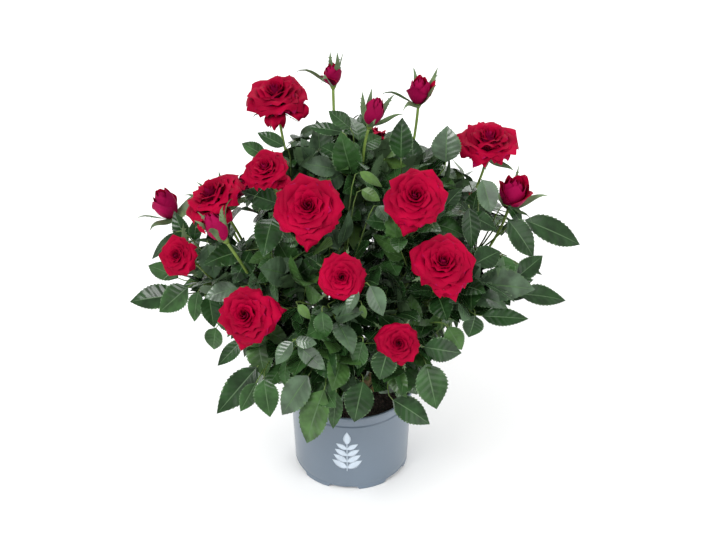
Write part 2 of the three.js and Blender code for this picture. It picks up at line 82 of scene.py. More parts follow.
POT = SimpleNamespace(
    rim=65.0, height=98.0, shoulder=63.0, base=59.0, wall=1.6, foot=4.0, feet=6, first_foot=-68.0, hub=12.0
)
CANE = SimpleNamespace(count=4, first=-135.0, ring=20.0, length=42.0, lean=16.0, flare=1.6, root=4.0, tip=3.0)
LEAF = SimpleNamespace(stalk=44.0, length=60.0)

LEAD = 108.0  # from the end of a mass's stem to the tip of its leading leaf
SITE = 8.8  # from the end of a mass's stem to the middle of its space
SAG = 18.0  # how far a mass's space hangs below its leading leaf
OVERREACH = 3.0  # how far it reaches beyond that leaf's tip
UNDERSIDE_SLOPE = 0.6  # how fast its underside rises outwards

# Each mass of foliage: the azimuth, reach and height of its leading leaf's tip, how steeply that leaf
# climbs, and the cane that bears it.
MASSES = {
    "low_front_left": (-128, 197, 178, -22, 0),
    "low_front": (-105, 188, 159, -30, 0),
    "low_front_right": (-67, 200, 192, -20, 1),
    "low_right": (-12, 213, 226, -6, 1),
    "low_back_right": (45, 195, 185, -18, 2),
    "low_back": (103, 192, 175, -20, 3),
    "low_back_left": (152, 200, 190, -15, 3),
    "left": (-171, 220, 227, 0, 0),
    "front": (-99, 195, 230, -8, 1),
    "middle_right": (-38, 208, 264, 2, 1),
    "right": (2, 230, 263, 6, 2),
    "front_left": (-120, 178, 315, 28, 0),
    "front_right": (-34, 182, 318, 25, 1),
    "back_right": (52, 180, 318, 30, 2),
    "back_left": (132, 180, 318, 30, 3),
    "top": (100, 55, 392, 72, 3),
}

# Each flower: the azimuth, reach and height of the middle of its petals, their width, the azimuth and pitch that
# it faces, and the length of its bare stalk.
ROSES = {
    "rose_top_left": ((126, 126, 375), 66, (-110, 80), 44),
    "rose_right": ((27, 153, 340), 67, (-60, 80), 44),
    "rose_upper_left": ((-149, 90, 375), 47, (-125, 64), 40),
    "rose_left": ((-160, 135, 346), 62, (-165, 62), 44),
    "rose_far_left": ((-159, 173, 291), 41, (-118, 36), 40),
    "rose_front_left": ((-110, 107, 367), 65, (-98, 48), 48),
    "rose_front_right": ((-58, 110, 373), 61, (-88, 50), 48),
    "rose_middle_right": ((-57, 152, 325), 61, (-85, 58), 48),
    "rose_middle": ((-93, 142, 320), 47, (-92, 36), 44),
    "rose_lower_left": ((-124, 167, 277), 58, (-108, 38), 44),
    "rose_lower_right": ((-75, 167, 262), 42, (-92, 38), 40),
    "rose_back": ((84, 150, 300), 60, (84, 52), 44),
    "rose_back_left": ((128, 168, 256), 58, (128, 42), 44),
    "rose_back_right": ((50, 172, 248), 54, (50, 40), 44),
    "rose_low_back": ((104, 186, 214), 48, (104, 30), 44),
}
BUDS = {
    "bud_top": ((100, 102, 392), 21, (100, 86), 62),
    "bud_middle": ((37, 25, 394), 23, (0, 74), 44),
    "bud_top_right": ((54, 114, 378), 26, (30, 86), 66),
    "bud_right": ((0, 154, 317), 31, (-30, 78), 60),
    "bud_far_left": ((173, 179, 290), 28, (180, 68), 44),
    "bud_left": ((-142, 149, 334), 24, (178, 60), 44),
    "bud_back": ((152, 150, 268), 28, (150, 66), 44),
}

# Where the plant is looked at from, in millimetres, and how far down, in degrees. The crown's lower and upper
# edges are given as they look from there on a sheet 1.6 m away: how far right of the sheet's middle, and how
# far up it.
VIEWPOINT = np.array([6.9, -1315.0, 1104.2])
LOOKS_DOWN = 33.5
SHEET = 1600.0
SHEET_WIDTH = 716.0
SIDE_EDGE = 236.0  # how far from the sheet's middle the crown may reach
LOWER_EDGE = (
    (-188, 60), (-184, -24), (-165, -28), (-154, -32), (-142, -55), (-128, -70), (-118, -84), (-106, -98),
    (-98, -118), (-80, -120), (-70, -126), (-60, -138), (-45, -142), (-25, -144), (-12, -136), (6, -118),
    (18, -120), (32, -130), (48, -132), (62, -120), (70, -106), (84, -96), (90, -78), (98, -62), (106, -48),
    (125, -46), (160, -40), (166, -26), (184, -14), (188, 30),
)
UPPER_EDGE = (
    (-188, -10), (-180, -4), (-172, 30), (-160, 46), (-150, 46), (-136, 38), (-126, 60), (-116, 74), (-104, 82),
    (-98, 118), (-84, 128), (-66, 136), (-52, 142), (-46, 150), (-28, 156), (-6, 158), (12, 152), (30, 144),
    (44, 146), (54, 132), (60, 120), (70, 124), (80, 136), (90, 136), (100, 118), (112, 104), (130, 102),
    (137, 92), (142, 66), (160, 62), (168, 46), (182, 14), (188, 0),
)

# Gaps in the crown that the light shows through, seen from there: how far right and up, and their half sizes.
WINDOWS = (
    (130, 31, 12, 9), (160, 20, 16, 6), (138, -4, 4, 12), (-114, 42, 11, 14), (107, 111, 9, 7),
)

# The tones of green, by their place among the leaves' materials. The blue green is a pale tone that paints the sheen
# of glossy leaves into their colour.
DEEP, MIDDLE, BLUE, BRIGHT, FRESH, UNDERSIDE, RIB = range(7)

# The leaflets that stand out at the crown's edge and on its face, by the mass that bears them: the root and the
# tip of each as they look from there, each with how far it stands in front of the plant's middle, its width and
# its tone.
OUTER_LEAVES = {
    "left": (
        ((-180, -25, 40), (-230, -29, 42), 26, DEEP),
        ((-170, -17, 50), (-200, -43, 60), 28, MIDDLE),
        ((-171, 28, 20), (-186, 58, 10), 17, DEEP),
        ((-164, 30, 20), (-161, 51, 20), 13, DEEP),
        ((-182, 38, 30), (-209, 8, 30), 10, DEEP),
        ((-160, -22, 60), (-166, -52, 75), 18, MIDDLE),
        ((-149, -25, 75), (-145, -58, 95), 20, DEEP),
        ((-180, -8, 45), (-211, 8, 30), 22, MIDDLE),
        ((-151, 26, 50), (-143, -10, 65), 24, BLUE),
        ((-121, -2, 60), (-117, 33, 50), 15, DEEP),
    ),
    "low_front_left": (
        ((-142, -58, 100), (-147, -81, 110), 21, MIDDLE),
        ((-116, -70, 110), (-141, -97, 125), 15, DEEP),
        ((-101, -97, 125), (-142, -145, 150), 27, DEEP),
        ((-102, -113, 140), (-118, -142, 155), 17, MIDDLE),
        ((-94, -109, 145), (-89, -148, 165), 24, MIDDLE),
    ),
    "low_front": (
        ((-50, -106, 160), (-79, -147, 175), 29, BLUE),
        ((-34, -120, 170), (-58, -179, 185), 31, BRIGHT),
        ((-22, -122, 165), (-25, -161, 178), 15, MIDDLE),
        ((5, -112, 160), (-5, -155, 178), 28, DEEP),
        ((-60, -76, 165), (-31, -101, 178), 17, BLUE),
        ((-62, -70, 165), (-42, -74, 172), 13, BLUE),
        ((-66, -72, 165), (-84, -94, 175), 16, BLUE),
        ((5, -72, 165), (-4, -100, 172), 18, MIDDLE),
        ((30, -80, 165), (20, -112, 175), 24, DEEP),
    ),
    "low_front_right": (
        ((35, -130, 165), (74, -152, 180), 24, DEEP),
        ((68, -94, 150), (80, -141, 172), 32, MIDDLE),
        ((66, -77, 145), (105, -84, 150), 23, DEEP),
        ((90, -57, 130), (105, -82, 140), 19, BRIGHT),
    ),
    "middle_right": (
        ((117, -46, 125), (112, -68, 135), 21, DEEP),
        ((124, -46, 120), (171, -48, 125), 18, DEEP),
    ),
    "low_right": (
        ((160, -24, 70), (213, -26, 60), 22, DEEP),
        ((140, -18, 70), (177, -8, 55), 17, DEEP),
        ((157, -9, 50), (187, 16, 30), 20, DEEP),
        ((145, 14, 60), (150, -14, 75), 20, MIDDLE),
    ),
    "right": (
        ((150, 50, 20), (180, 14, 30), 28, DEEP),
        ((167, 50, 5), (231, 25, 0), 28, DEEP),
        ((113, 54, 40), (142, 42, 40), 19, DEEP),
        ((124, 90, 30), (136, 57, 45), 25, BLUE),
        ((150, 64, 12), (168, 47, 16), 15, DEEP),
        ((111, 62, 50), (116, 20, 70), 19, DEEP),
        ((117, 6, 80), (144, 22, 60), 24, DEEP),
    ),
    "front": (
        ((12, -16, 150), (27, -46, 160), 18, BLUE),
        ((0, -20, 150), (-13, -43, 160), 12, BLUE),
        ((4, -35, 154), (6, -51, 156), 7, FRESH),
        ((-36, -42, 160), (-33, -72, 168), 18, MIDDLE),
        ((-60, -35, 150), (-46, -49, 154), 9, FRESH),
        ((2, 98, 60), (25, 84, 70), 10, FRESH),
        ((4, 80, 70), (22, 70, 80), 12, FRESH),
        ((20, 64, 75), (30, 50, 85), 13, BLUE),
    ),
    "back_right": (
        ((88, 108, -20), (88, 144, -30), 29, BLUE),
        ((43, 112, 0), (43, 152, -10), 23, DEEP),
    ),
    "back_left": (
        ((-94, 114, -10), (-116, 129, -15), 16, MIDDLE),
        ((-74, 124, -10), (-101, 138, -15), 15, DEEP),
    ),
    "front_left": (
        ((-79, 66, 30), (-116, 79, 30), 25, DEEP),
        ((-84, 52, 60), (-98, 17, 75), 22, BLUE),
    ),
    "top": (
        ((-8, 142, -20), (-29, 160, -25), 17, MIDDLE),
        ((-16, 138, -10), (-50, 146, -10), 13, DEEP),
    ),
}

# ---- Directions, curves and repeatable numbers ----


def place(azimuth, reach, height):
    """The point at an azimuth in degrees, a distance from the upright axis, and a height."""
    turn = np.radians(azimuth)
    return np.stack(np.broadcast_arrays(reach * np.cos(turn), reach * np.sin(turn), height), -1).astype(float)


def heading(azimuth, pitch):
    """The direction at an azimuth that climbs by a pitch, both in degrees."""
    return place(azimuth, np.cos(np.radians(pitch)), np.sin(np.radians(pitch)))


def unit(vectors):
    """Vectors divided by their lengths."""
    return vectors / np.linalg.norm(vectors, axis=-1, keepdims=True)


def blend(*terms):
    """The direction of the weighted sum of some directions."""
    return unit(sum(weight * np.asarray(vector) for weight, vector in terms))


def mix(low, high, share):
    """The value at a share of the way from low to high."""
    return low + (high - low) * share


def scatter(*keys):
    """A number from 0 to 1 that is always the same for its keys: the fraction of a large sine of their sum."""
    weights = (12.9898, 78.233, 37.719, 91.417)
    wave = np.sin(sum(np.asarray(key) * weight for key, weight in zip(keys, weights))) * 43758.5453
    return wave - np.floor(wave)


def square_to(vectors, axis):
    """The direction of each vector's part that is square to an axis."""
    return unit(vectors - (vectors * axis).sum(-1, keepdims=True) * axis)


def across(axis):
    """A direction across an axis, level where the axis allows it."""
    level = np.cross(axis, UP)
    return unit(level) if np.linalg.norm(level) > 0.1 else np.array([1.0, 0.0, 0.0])


def around(axis, angle):
    """The direction at an angle in degrees round an axis."""
    side = across(axis)
    return blend((math.cos(math.radians(angle)), side), (math.sin(math.radians(angle)), np.cross(axis, side)))


def on_curve(line, share):
    """The point of a Bezier curve at each share: neighbouring control points are mixed by the share, again and
    again, until one is left."""
    share = np.asarray(share, float)[..., None]
    points = list(line)
    while len(points) > 1:
        points = [mix(a, b, share) for a, b in zip(points, points[1:])]
    return points[0] + 0 * share  # a lone control point is repeated for every share


def way_of(line, share):
    """The direction of travel on a Bezier curve: the curve through the steps between its control points."""
    return unit(on_curve([b - a for a, b in zip(line, line[1:])], share))


# ---- Meshes from arrays ----


def patch(points, faces, uv=None, finish=0):
    """Points (n, 3) with faces as a list of arrays of corner numbers, one array for each number of sides."""
    corners = np.concatenate([np.asarray(group).ravel() for group in faces])
    sizes = np.concatenate([np.full(len(group), group.shape[1]) for group in faces])
    uv = np.zeros((len(points), 2)) if uv is None else uv
    finish = np.broadcast_to(finish, len(sizes))
    return SimpleNamespace(points=points, corners=corners, sizes=sizes, uv=uv, finish=finish)


def joined(patches):
    """One patch of many, with each one's corner numbers counted on from the points before it."""
    starts = np.cumsum([0] + [len(one.points) for one in patches[:-1]])
    return SimpleNamespace(
        points=np.concatenate([one.points for one in patches]),
        corners=np.concatenate([one.corners + start for one, start in zip(patches, starts)]),
        sizes=np.concatenate([one.sizes for one in patches]),
        uv=np.concatenate([one.uv for one in patches]),
        finish=np.concatenate([one.finish for one in patches]),
    )


def new_object(name, data):
    """An object of some data, put into the scene."""
    obj = bpy.data.objects.new(name, data)
    bpy.context.scene.collection.objects.link(obj)
    return obj


def piece(name, shape, materials, nodes, crease=None):
    """Puts a patch into a smooth mesh object in metres that rides on the plant and stands for some solids."""
    mesh = bpy.data.meshes.new(name)
    mesh.vertices.add(len(shape.points))
    mesh.vertices.foreach_set("co", (shape.points * MM).astype(np.float32).ravel())
    mesh.loops.add(len(shape.corners))
    mesh.loops.foreach_set("vertex_index", shape.corners.astype(np.int32))
    mesh.polygons.add(len(shape.sizes))
    starts = np.concatenate([[0], np.cumsum(shape.sizes)[:-1]])
    mesh.polygons.foreach_set("loop_start", starts.astype(np.int32))
    mesh.polygons.foreach_set("material_index", shape.finish.astype(np.int32))
    mesh.polygons.foreach_set("use_smooth", np.full(len(shape.sizes), True))
    layer = mesh.uv_layers.new(name="UVMap")
    layer.data.foreach_set("uv", shape.uv[shape.corners].astype(np.float32).ravel())
    for skin in materials:
        mesh.materials.append(skin)
    mesh.update(calc_edges=True)
    if mesh.validate():
        raise RuntimeError(f"the mesh of {name} had faults")
    if crease is not None:
        mesh.set_sharp_from_angle(angle=math.radians(crease))
    obj = new_object(name, mesh)
    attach(obj, next(iter(frame["bodies"])))
    if nodes:
        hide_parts(*nodes)


def grid_quads(rows, columns, wrap=False):
    """The faces of a grid of points, facing the way that columns cross rows."""
    number = np.arange(rows * columns).reshape(rows, columns)
    if wrap:
        number = np.concatenate([number, number[:, :1]], 1)
    return np.stack([number[:-1, :-1], number[:-1, 1:], number[1:, 1:], number[1:, :-1]], -1).reshape(-1, 4)


def capped_rings(rings, first, last, finish=0):
    """A closed skin over rings of points, from a pole at the first end to a pole at the last."""
    count, sides = rings.shape[:2]
    size = count * sides
    low = np.arange(sides)
    high = low + size - sides
    foot = np.stack([np.full(sides, size), np.roll(low, -1), low], -1)
    head = np.stack([np.full(sides, size + 1), high, np.roll(high, -1)], -1)
    points = np.concatenate([rings.reshape(-1, 3), [first], [last]])
    return patch(points, [grid_quads(count, sides, True), foot, head], finish=finish)


def tube(line, radius, sides, steps, start=0.0, stop=1.0, relief=None, finish=0):
    """A limb along part of a curve. Each ring is square to the curve, and its radius is radius(share), times
    1 + relief(share, angle) where that is given. The ends close in low domes."""
    share = np.linspace(0, 1, steps + 1)
    middle = on_curve(line, mix(start, stop, share))
    tangent = way_of(line, mix(start, stop, share))
    side = square_to(across(unit(middle[-1] - middle[0])), tangent)
    other = np.cross(tangent, side)
    angle = np.linspace(0, 2 * np.pi, sides, endpoint=False)
    reach = np.repeat(radius(share)[:, None], sides, 1)
    if relief:
        reach = reach * (1 + relief(share[:, None], angle))
    out = np.cos(angle)[:, None] * side[:, None] + np.sin(angle)[:, None] * other[:, None]
    rings = middle[:, None] + reach[..., None] * out
    first = middle[0] - 0.3 * reach[0, 0] * tangent[0]
    last = middle[-1] + 0.6 * reach[-1, 0] * tangent[-1]
    return capped_rings(rings, first, last, finish=finish)


def tapered(root, tip):
    """A radius that runs evenly from root to tip."""
    return lambda share: mix(root, tip, share)


def prickles(line, radius, stations, spread, length, seed, finish):
    """Hooked thorns: five-sided cones on a limb's skin that point out and a little down it."""
    made = []
    for index, share in enumerate(stations):
        tangent = way_of(line, share)
        out = around(tangent, GOLDEN * index + 360 * scatter(seed, index, 3))
        size = length * mix(0.6, 1.0, scatter(seed, index, 5))
        foot = on_curve(line, share) + out * (radius(share) - 0.25)
        tip = foot + size * out - 0.35 * size * tangent
        hook = [foot, foot + 0.55 * size * out, tip]
        made.append(tube(hook, tapered(spread, 0.08), 5, 3, finish=finish))
    return made


def thin_shells(sheets, inward, thickness, finish_front, finish_back):
    """Closed thin shells from sheets of points (k, rows, columns, 3). Front and back stand half the thickness
    off each sheet along its inward normals, and meet in its border."""
    count, rows, columns = sheets.shape[:3]
    border = np.zeros((rows, columns), bool)
    border[[0, -1]] = border[:, [0, -1]] = True
    offset = np.where(border, 0, thickness / 2)[..., None] * inward
    front, back = sheets + offset, (sheets - offset)[:, ~border]
    number = np.arange(rows * columns).reshape(rows, columns)
    under = number.copy()
    under[~border] = rows * columns + np.arange((~border).sum())
    quads = grid_quads(rows, columns)
    faces = np.concatenate([quads[:, ::-1], under.ravel()[quads]])
    points = np.concatenate([front.reshape(count, -1, 3), back], 1)
    size = points.shape[1]
    corners = faces[None] + (np.arange(count) * size)[:, None, None]
    spot = np.stack(np.meshgrid(np.linspace(0, 1, columns), np.linspace(0, 1, rows)), -1)
    spot = np.concatenate([spot.reshape(-1, 2), spot[~border]])
    finish = np.repeat([finish_front, finish_back], len(quads))
    return patch(points.reshape(-1, 3), [corners.reshape(-1, 4)], np.tile(spot, (count, 1)), np.tile(finish, count))


def normals_of(sheets):
    """The direction square to each sheet at each point: the steps along its columns crossed with those along
    its rows. The tiny number is for a point where a step vanishes."""
    return unit(np.cross(np.gradient(sheets, axis=-2), np.gradient(sheets, axis=-3)) + 1e-12)


# ---- Canes, masses and flowers: the rule of growth ----


def cane_line(azimuth):
    """A cane's curve: upright at its foot, and then leaning out."""
    foot = place(azimuth, CANE.ring, SOIL_TOP + CLEARANCE)
    tip = foot + heading(azimuth, 90 - CANE.lean) * CANE.length
    return [foot, foot + UP * CANE.length / 2, tip]


def mass_at(index, name, azimuth, reach, height, pitch, cane):
    """A mass of foliage, laid out backwards from the tip of its leading leaf to the end of its stem."""
    direction = heading(azimuth, pitch)
    tip = place(azimuth, reach, height)
    end = tip - direction * LEAD
    lowest = height - SAG - LEAD * max(0, direction[2])
    mass = SimpleNamespace(name=name, index=index, azimuth=azimuth, reach=reach, height=height, cane=cane)
    mass.direction, mass.tip, mass.end, mass.lowest = direction, tip, end, lowest
    mass.site = end + direction * SITE
    mass.flowers = []
    return mass


def bough_line(cane, mass, rank, count):
    """The curve of the bough and stem from a cane to the end of a mass's stem. The highest mass of a cane goes
    on from the cane's tip, and the others branch off its side, in the order of their heights."""
    leads = rank == count - 1
    share = 1 if leads else mix(0.3, 0.8, rank / (count - 2))
    tangent = way_of(cane, share)
    start = on_curve(cane, share) + (tangent * CLEARANCE if leads else 0)
    leaves = tangent if leads else heading(mass.azimuth, 60 * share)
    span = np.linalg.norm(start - mass.end)
    ends = mass.end - blend((0.6, mass.direction), (0.4, UP)) * 0.4 * span
    return [start, start + leaves * 0.35 * span, ends, mass.end]


def flower_at(index, name, at, width, faces, stalk):
    """A flower and its bare stalk, which swings from the crown's middle round to the way that it faces."""
    flower = SimpleNamespace(name=name, middle=place(*at), axis=heading(*faces), radius=width / 2)
    flower.is_open = name in ROSES
    flower.index = index
    flower.depth = (0.6 if flower.is_open else 0.9) * flower.radius
    base = flower.middle - flower.axis * flower.depth
    outward = unit(base - HEART)
    foot = base - blend((0.5, flower.axis), (0.5, outward), (0.35, UP)) * stalk
    flower.stalk = [foot, base - flower.axis * 0.45 * stalk, base]
    return flower


def grown():
    """The lines of the canes, the masses with their limbs and spaces, and the flowers with their stalks. A mass
    bears the flowers whose stalks start nearest to it, each on a twig from its stem."""
    canes = [cane_line(CANE.first + index * 360 / CANE.count) for index in range(CANE.count)]
    masses = [mass_at(index, name, *MASSES[name]) for index, name in enumerate(MASSES)]
    for index, cane in enumerate(canes):
        own = sorted((mass for mass in masses if mass.cane == index), key=lambda mass: mass.height)
        for rank, mass in enumerate(own):
            mass.line = bough_line(cane, mass, rank, len(own))
    for mass in masses:
        others = [other.site for other in masses if other is not mass]
        mass.others = [(site, 2 * np.linalg.norm(mass.site - site)) for site in others]
        mass.entry = 1  # the share of the bough's line at which the mass's own space begins
        while mass.entry > 0.3 and depth_in_space(on_curve(mass.line, mass.entry - 0.02), mass, 0) > 3:
            mass.entry -= 0.02
    blooms = {**ROSES, **BUDS}
    flowers = [flower_at(index, name, *blooms[name]) for index, name in enumerate(blooms)]
    for flower in flowers:
        foot = flower.stalk[0]
        min(masses, key=lambda mass: np.linalg.norm(foot - mass.site)).flowers.append(flower)
    for mass in masses:
        for rank, flower in enumerate(mass.flowers):
            share = mix(0.35, 0.8, rank / max(1, len(mass.flowers) - 1))
            start = on_curve(mass.line, mix(mass.entry, 1, share))
            heads = way_of(flower.stalk, 0)
            end = flower.stalk[0] + heads * 1.5
            flower.twig = [start, end - heads * 0.3 * np.linalg.norm(start - end), end]
    return canes, masses, flowers


def depth_in_space(points, mass, sharing):
    """How far points are inside a mass's own space: nearer to it than to any other by less than sharing, no
    further out than the tip of its leading leaf, and above the slope of the crown's underside."""
    own = ((points - mass.site) ** 2).sum(-1)
    depths = [(((points - site) ** 2).sum(-1) - own) / gap + sharing for site, gap in mass.others]
    outside = (points - mass.tip) @ mass.direction
    floor = mass.lowest + UNDERSIDE_SLOPE * (np.hypot(points[..., 0], points[..., 1]) - mass.reach)
    return np.minimum.reduce([*depths, OVERREACH - outside, points[..., 2] - floor])


def seen(points):
    """Where points show on the sheet: how far they are across and up, over how far ahead, times the sheet's
    distance."""
    offset = points - VIEWPOINT
    down = math.radians(LOOKS_DOWN)
    ahead = offset[..., 1] * math.cos(down) - offset[..., 2] * math.sin(down)
    rise = offset[..., 1] * math.sin(down) + offset[..., 2] * math.cos(down)
    return SHEET * offset[..., 0] / ahead, SHEET * rise / ahead


def off_sheet(right, up, forward):
    """The point that shows at a place on the sheet and stands that far in front of the upright axis: the ray
    from the viewpoint through that place, followed until it is there."""
    down = math.radians(LOOKS_DOWN)
    level, upright = math.cos(down), math.sin(down)
    ray = np.array([right, SHEET * level + up * upright, up * level - SHEET * upright])
    return VIEWPOINT + ray * (-forward - VIEWPOINT[1]) / ray[1]


def within_edges(points):
    """Whether points show between the crown's lower and upper edges and outside its gaps."""
    right, up = seen(points)
    low = np.interp(right, *zip(*LOWER_EDGE))
    high = np.interp(right, *zip(*UPPER_EDGE))
    for x, y, half_width, half_height in WINDOWS:
        if (((right - x) / half_width) ** 2 + ((up - y) / half_height) ** 2 < 1).any():
            return False
    between = (up > low - EDGE_SLACK) & (up < high + EDGE_SLACK) & (np.abs(right) < SIDE_EDGE)
    return bool(between.all())


# ---- Leaves ----

SHARING = 9.0  # how far leaves of neighbouring masses may reach into each other
INSIDE = 1.5  # how far inside its mass's space, so widened, everything stays
EDGE_SLACK = 3.0  # how far past the crown's edges a leaf may show
POT_GAP = 2.0  # how clear twigs and leaves stay of the pot
MARGIN = 0.8  # how clear they stay of the flowers
LIMB_GAP = 3.2  # how clear leaflets stay of limbs
LEAFLET_GAP = 10.0  # between the middles of leaflets
HIGH_MASS = 300.0  # above this the leaves are smaller
TWIG = SimpleNamespace(length=46.0, fine=24.0)
TURNS = (0, 45, -45, 90, -90, 135, -135, 180)  # tried one after another, in degrees
TWIG_STARTS = (0.15, 0.35, 0.6, 0.85, 0.25, 0.48, 0.72, 0.95)
TONE_STEPS = (0.44, 0.7, 0.88, 0.97)  # the shares of leaves up to each tone but the last
OUTER_SEED = 500

# A leaflet's rows, and how far out its rib's edge, its panels' border, its notches and its teeth are.
BLADE = SimpleNamespace(rows=14, rib=0.04, inner=0.52, notch=0.94, tooth=1.035)

# The leaflets of a full leaf: where on the stalk, the swing from it in degrees, and the size.
LEAFLETS = ((1.0, 0, 1.0), (0.84, 52, 0.84), (0.84, -52, 0.84), (0.46, 62, 0.66), (0.46, -62, 0.66))


def blade_points(blades, forward, out, lift):
    """Points of leaflets (k, n, 3). Each leaflet's midrib is an arc that bends down by an angle over its
    length. Its outline is a product of powers of the ways to both its ends, and is widest at 0.42 of its
    length. Out is a share of the half-width there. Both halves fold up from the midrib, ease off towards the
    edge and ripple along it."""
    outline = (forward / 0.42) ** 0.8 * (np.maximum(1 - forward, 0) / 0.58) ** 1.1
    bend = blades.bend[:, None]
    turn = bend * forward
    length = blades.length[:, None]
    half = blades.width[:, None] / 2 * outline
    wide = out * half
    rise = np.abs(out) * half * blades.fold[:, None] * (1 - 0.45 * np.abs(out))
    ripple = 0.05 * half * out**2 * np.sin(9 * forward + blades.phase[:, None] + 1.5 * out)
    level = (lift * length / 100 + rise + ripple)[..., None]
    sweep = (blades.sweep[:, None] * length * forward**2 + wide)[..., None]
    run = (length * np.sin(turn) / bend)[..., None]
    fall = (length * (1 - np.cos(turn)) / bend)[..., None]
    ahead, facing = blades.direction[:, None], blades.normal[:, None]
    side = np.cross(blades.normal, blades.direction)[:, None]
    top = facing * np.cos(turn)[..., None] + ahead * np.sin(turn)[..., None]
    return blades.root[:, None] + ahead * run - facing * fall + side * sweep + top * level


def blade_template():
    """One leaflet as numbers: how far forward, out and up each point is, and its faces. A row has a narrow
    rib, an inner panel with a raised or sunk middle, and an outer panel that ends in a forward tooth."""
    rows = BLADE.rows
    at = np.arange(1, rows) / rows
    forward, out, lift = [0.0, 1.0], [0.0, 0.0], [0.0, 0.0]
    columns = {}

    def column(name, ahead, aside, up):
        """Adds a column of points and notes their numbers."""
        columns[name] = np.arange(len(ahead)) + len(forward)
        forward.extend(ahead)
        out.extend(np.broadcast_to(aside, len(ahead)))
        lift.extend(np.broadcast_to(up, len(ahead)))

    quilt = np.where(np.arange(1, rows) % 2, 0.5, -0.3)
    slant = 0.5 / rows
    column("under", at, 0, -0.9)
    for way in (1, -1):
        column(("rib", way), at, way * BLADE.rib, 0.0)
        column(("inner", way), np.minimum(at + slant, 0.985), way * BLADE.inner, quilt)
        column(("notch", way), np.minimum(at + 1.5 * slant, 0.992), way * BLADE.notch, 0.0)
        column(("tooth", way), np.minimum(at[:-1] + 1 / rows + 1.1 * slant, 0.99), way * BLADE.tooth, 0.0)
    faces, finish = [], []

    def face(corners, way, kind):
        """Adds a face, which is turned over on the other half of the leaflet."""
        faces.append(corners if way > 0 else corners[::-1])
        finish.append(kind)

    for way in (1, -1):
        rib, inner, notch, tooth = (columns[(name, way)] for name in ("rib", "inner", "notch", "tooth"))
        under = columns["under"]
        face([0, rib[0], inner[0]], way, 0)
        face([0, inner[0], notch[0]], way, 0)
        face([0, notch[0], under[0]], way, 1)
        face([rib[-1], 1, inner[-1]], way, 0)
        face([inner[-1], 1, notch[-1]], way, 0)
        face([under[-1], notch[-1], 1], way, 1)
        for r in range(rows - 2):
            face([rib[r], rib[r + 1], inner[r + 1], inner[r]], way, 0)
            face([inner[r], inner[r + 1], notch[r + 1], tooth[r], notch[r]], way, 0)
            face([under[r], notch[r], tooth[r], notch[r + 1], under[r + 1]], way, 1)
    left, right = columns[("rib", 1)], columns[("rib", -1)]
    face([0, right[0], left[0]], 1, 2)
    face([right[-1], 1, left[-1]], 1, 2)
    for r in range(rows - 2):
        face([right[r], right[r + 1], left[r + 1], left[r]], 1, 2)
    return np.array(forward), np.array(out), np.array(lift), faces, np.array(finish)


def blade_patch(blades, underside, rib):
    """Every leaflet of a piece at once: the template's points are laid out for each, and its corner numbers
    are counted on from one leaflet to the next."""
    forward, out, lift, faces, kinds = blade_template()
    count = len(blades.length)
    points = blade_points(blades, forward[None], out[None], lift[None])
    corners = np.concatenate(faces)
    sizes = np.array([len(face) for face in faces])
    all_corners = (corners[None] + (np.arange(count) * len(forward))[:, None]).ravel()
    finish = np.where(kinds == 0, blades.finish[:, None], np.where(kinds == 1, underside, rib))
    uv = np.tile(np.stack([0.5 + out / 2.2, forward], -1), (count, 1))
    return SimpleNamespace(
        points=points.reshape(-1, 3), corners=all_corners, sizes=np.tile(sizes, count), uv=uv, finish=finish.ravel()
    )


def gather(blades):
    """Leaflets with their numbers side by side in arrays."""
    return SimpleNamespace(**{key: np.array([getattr(one, key) for one in blades]) for key in vars(blades[0])})


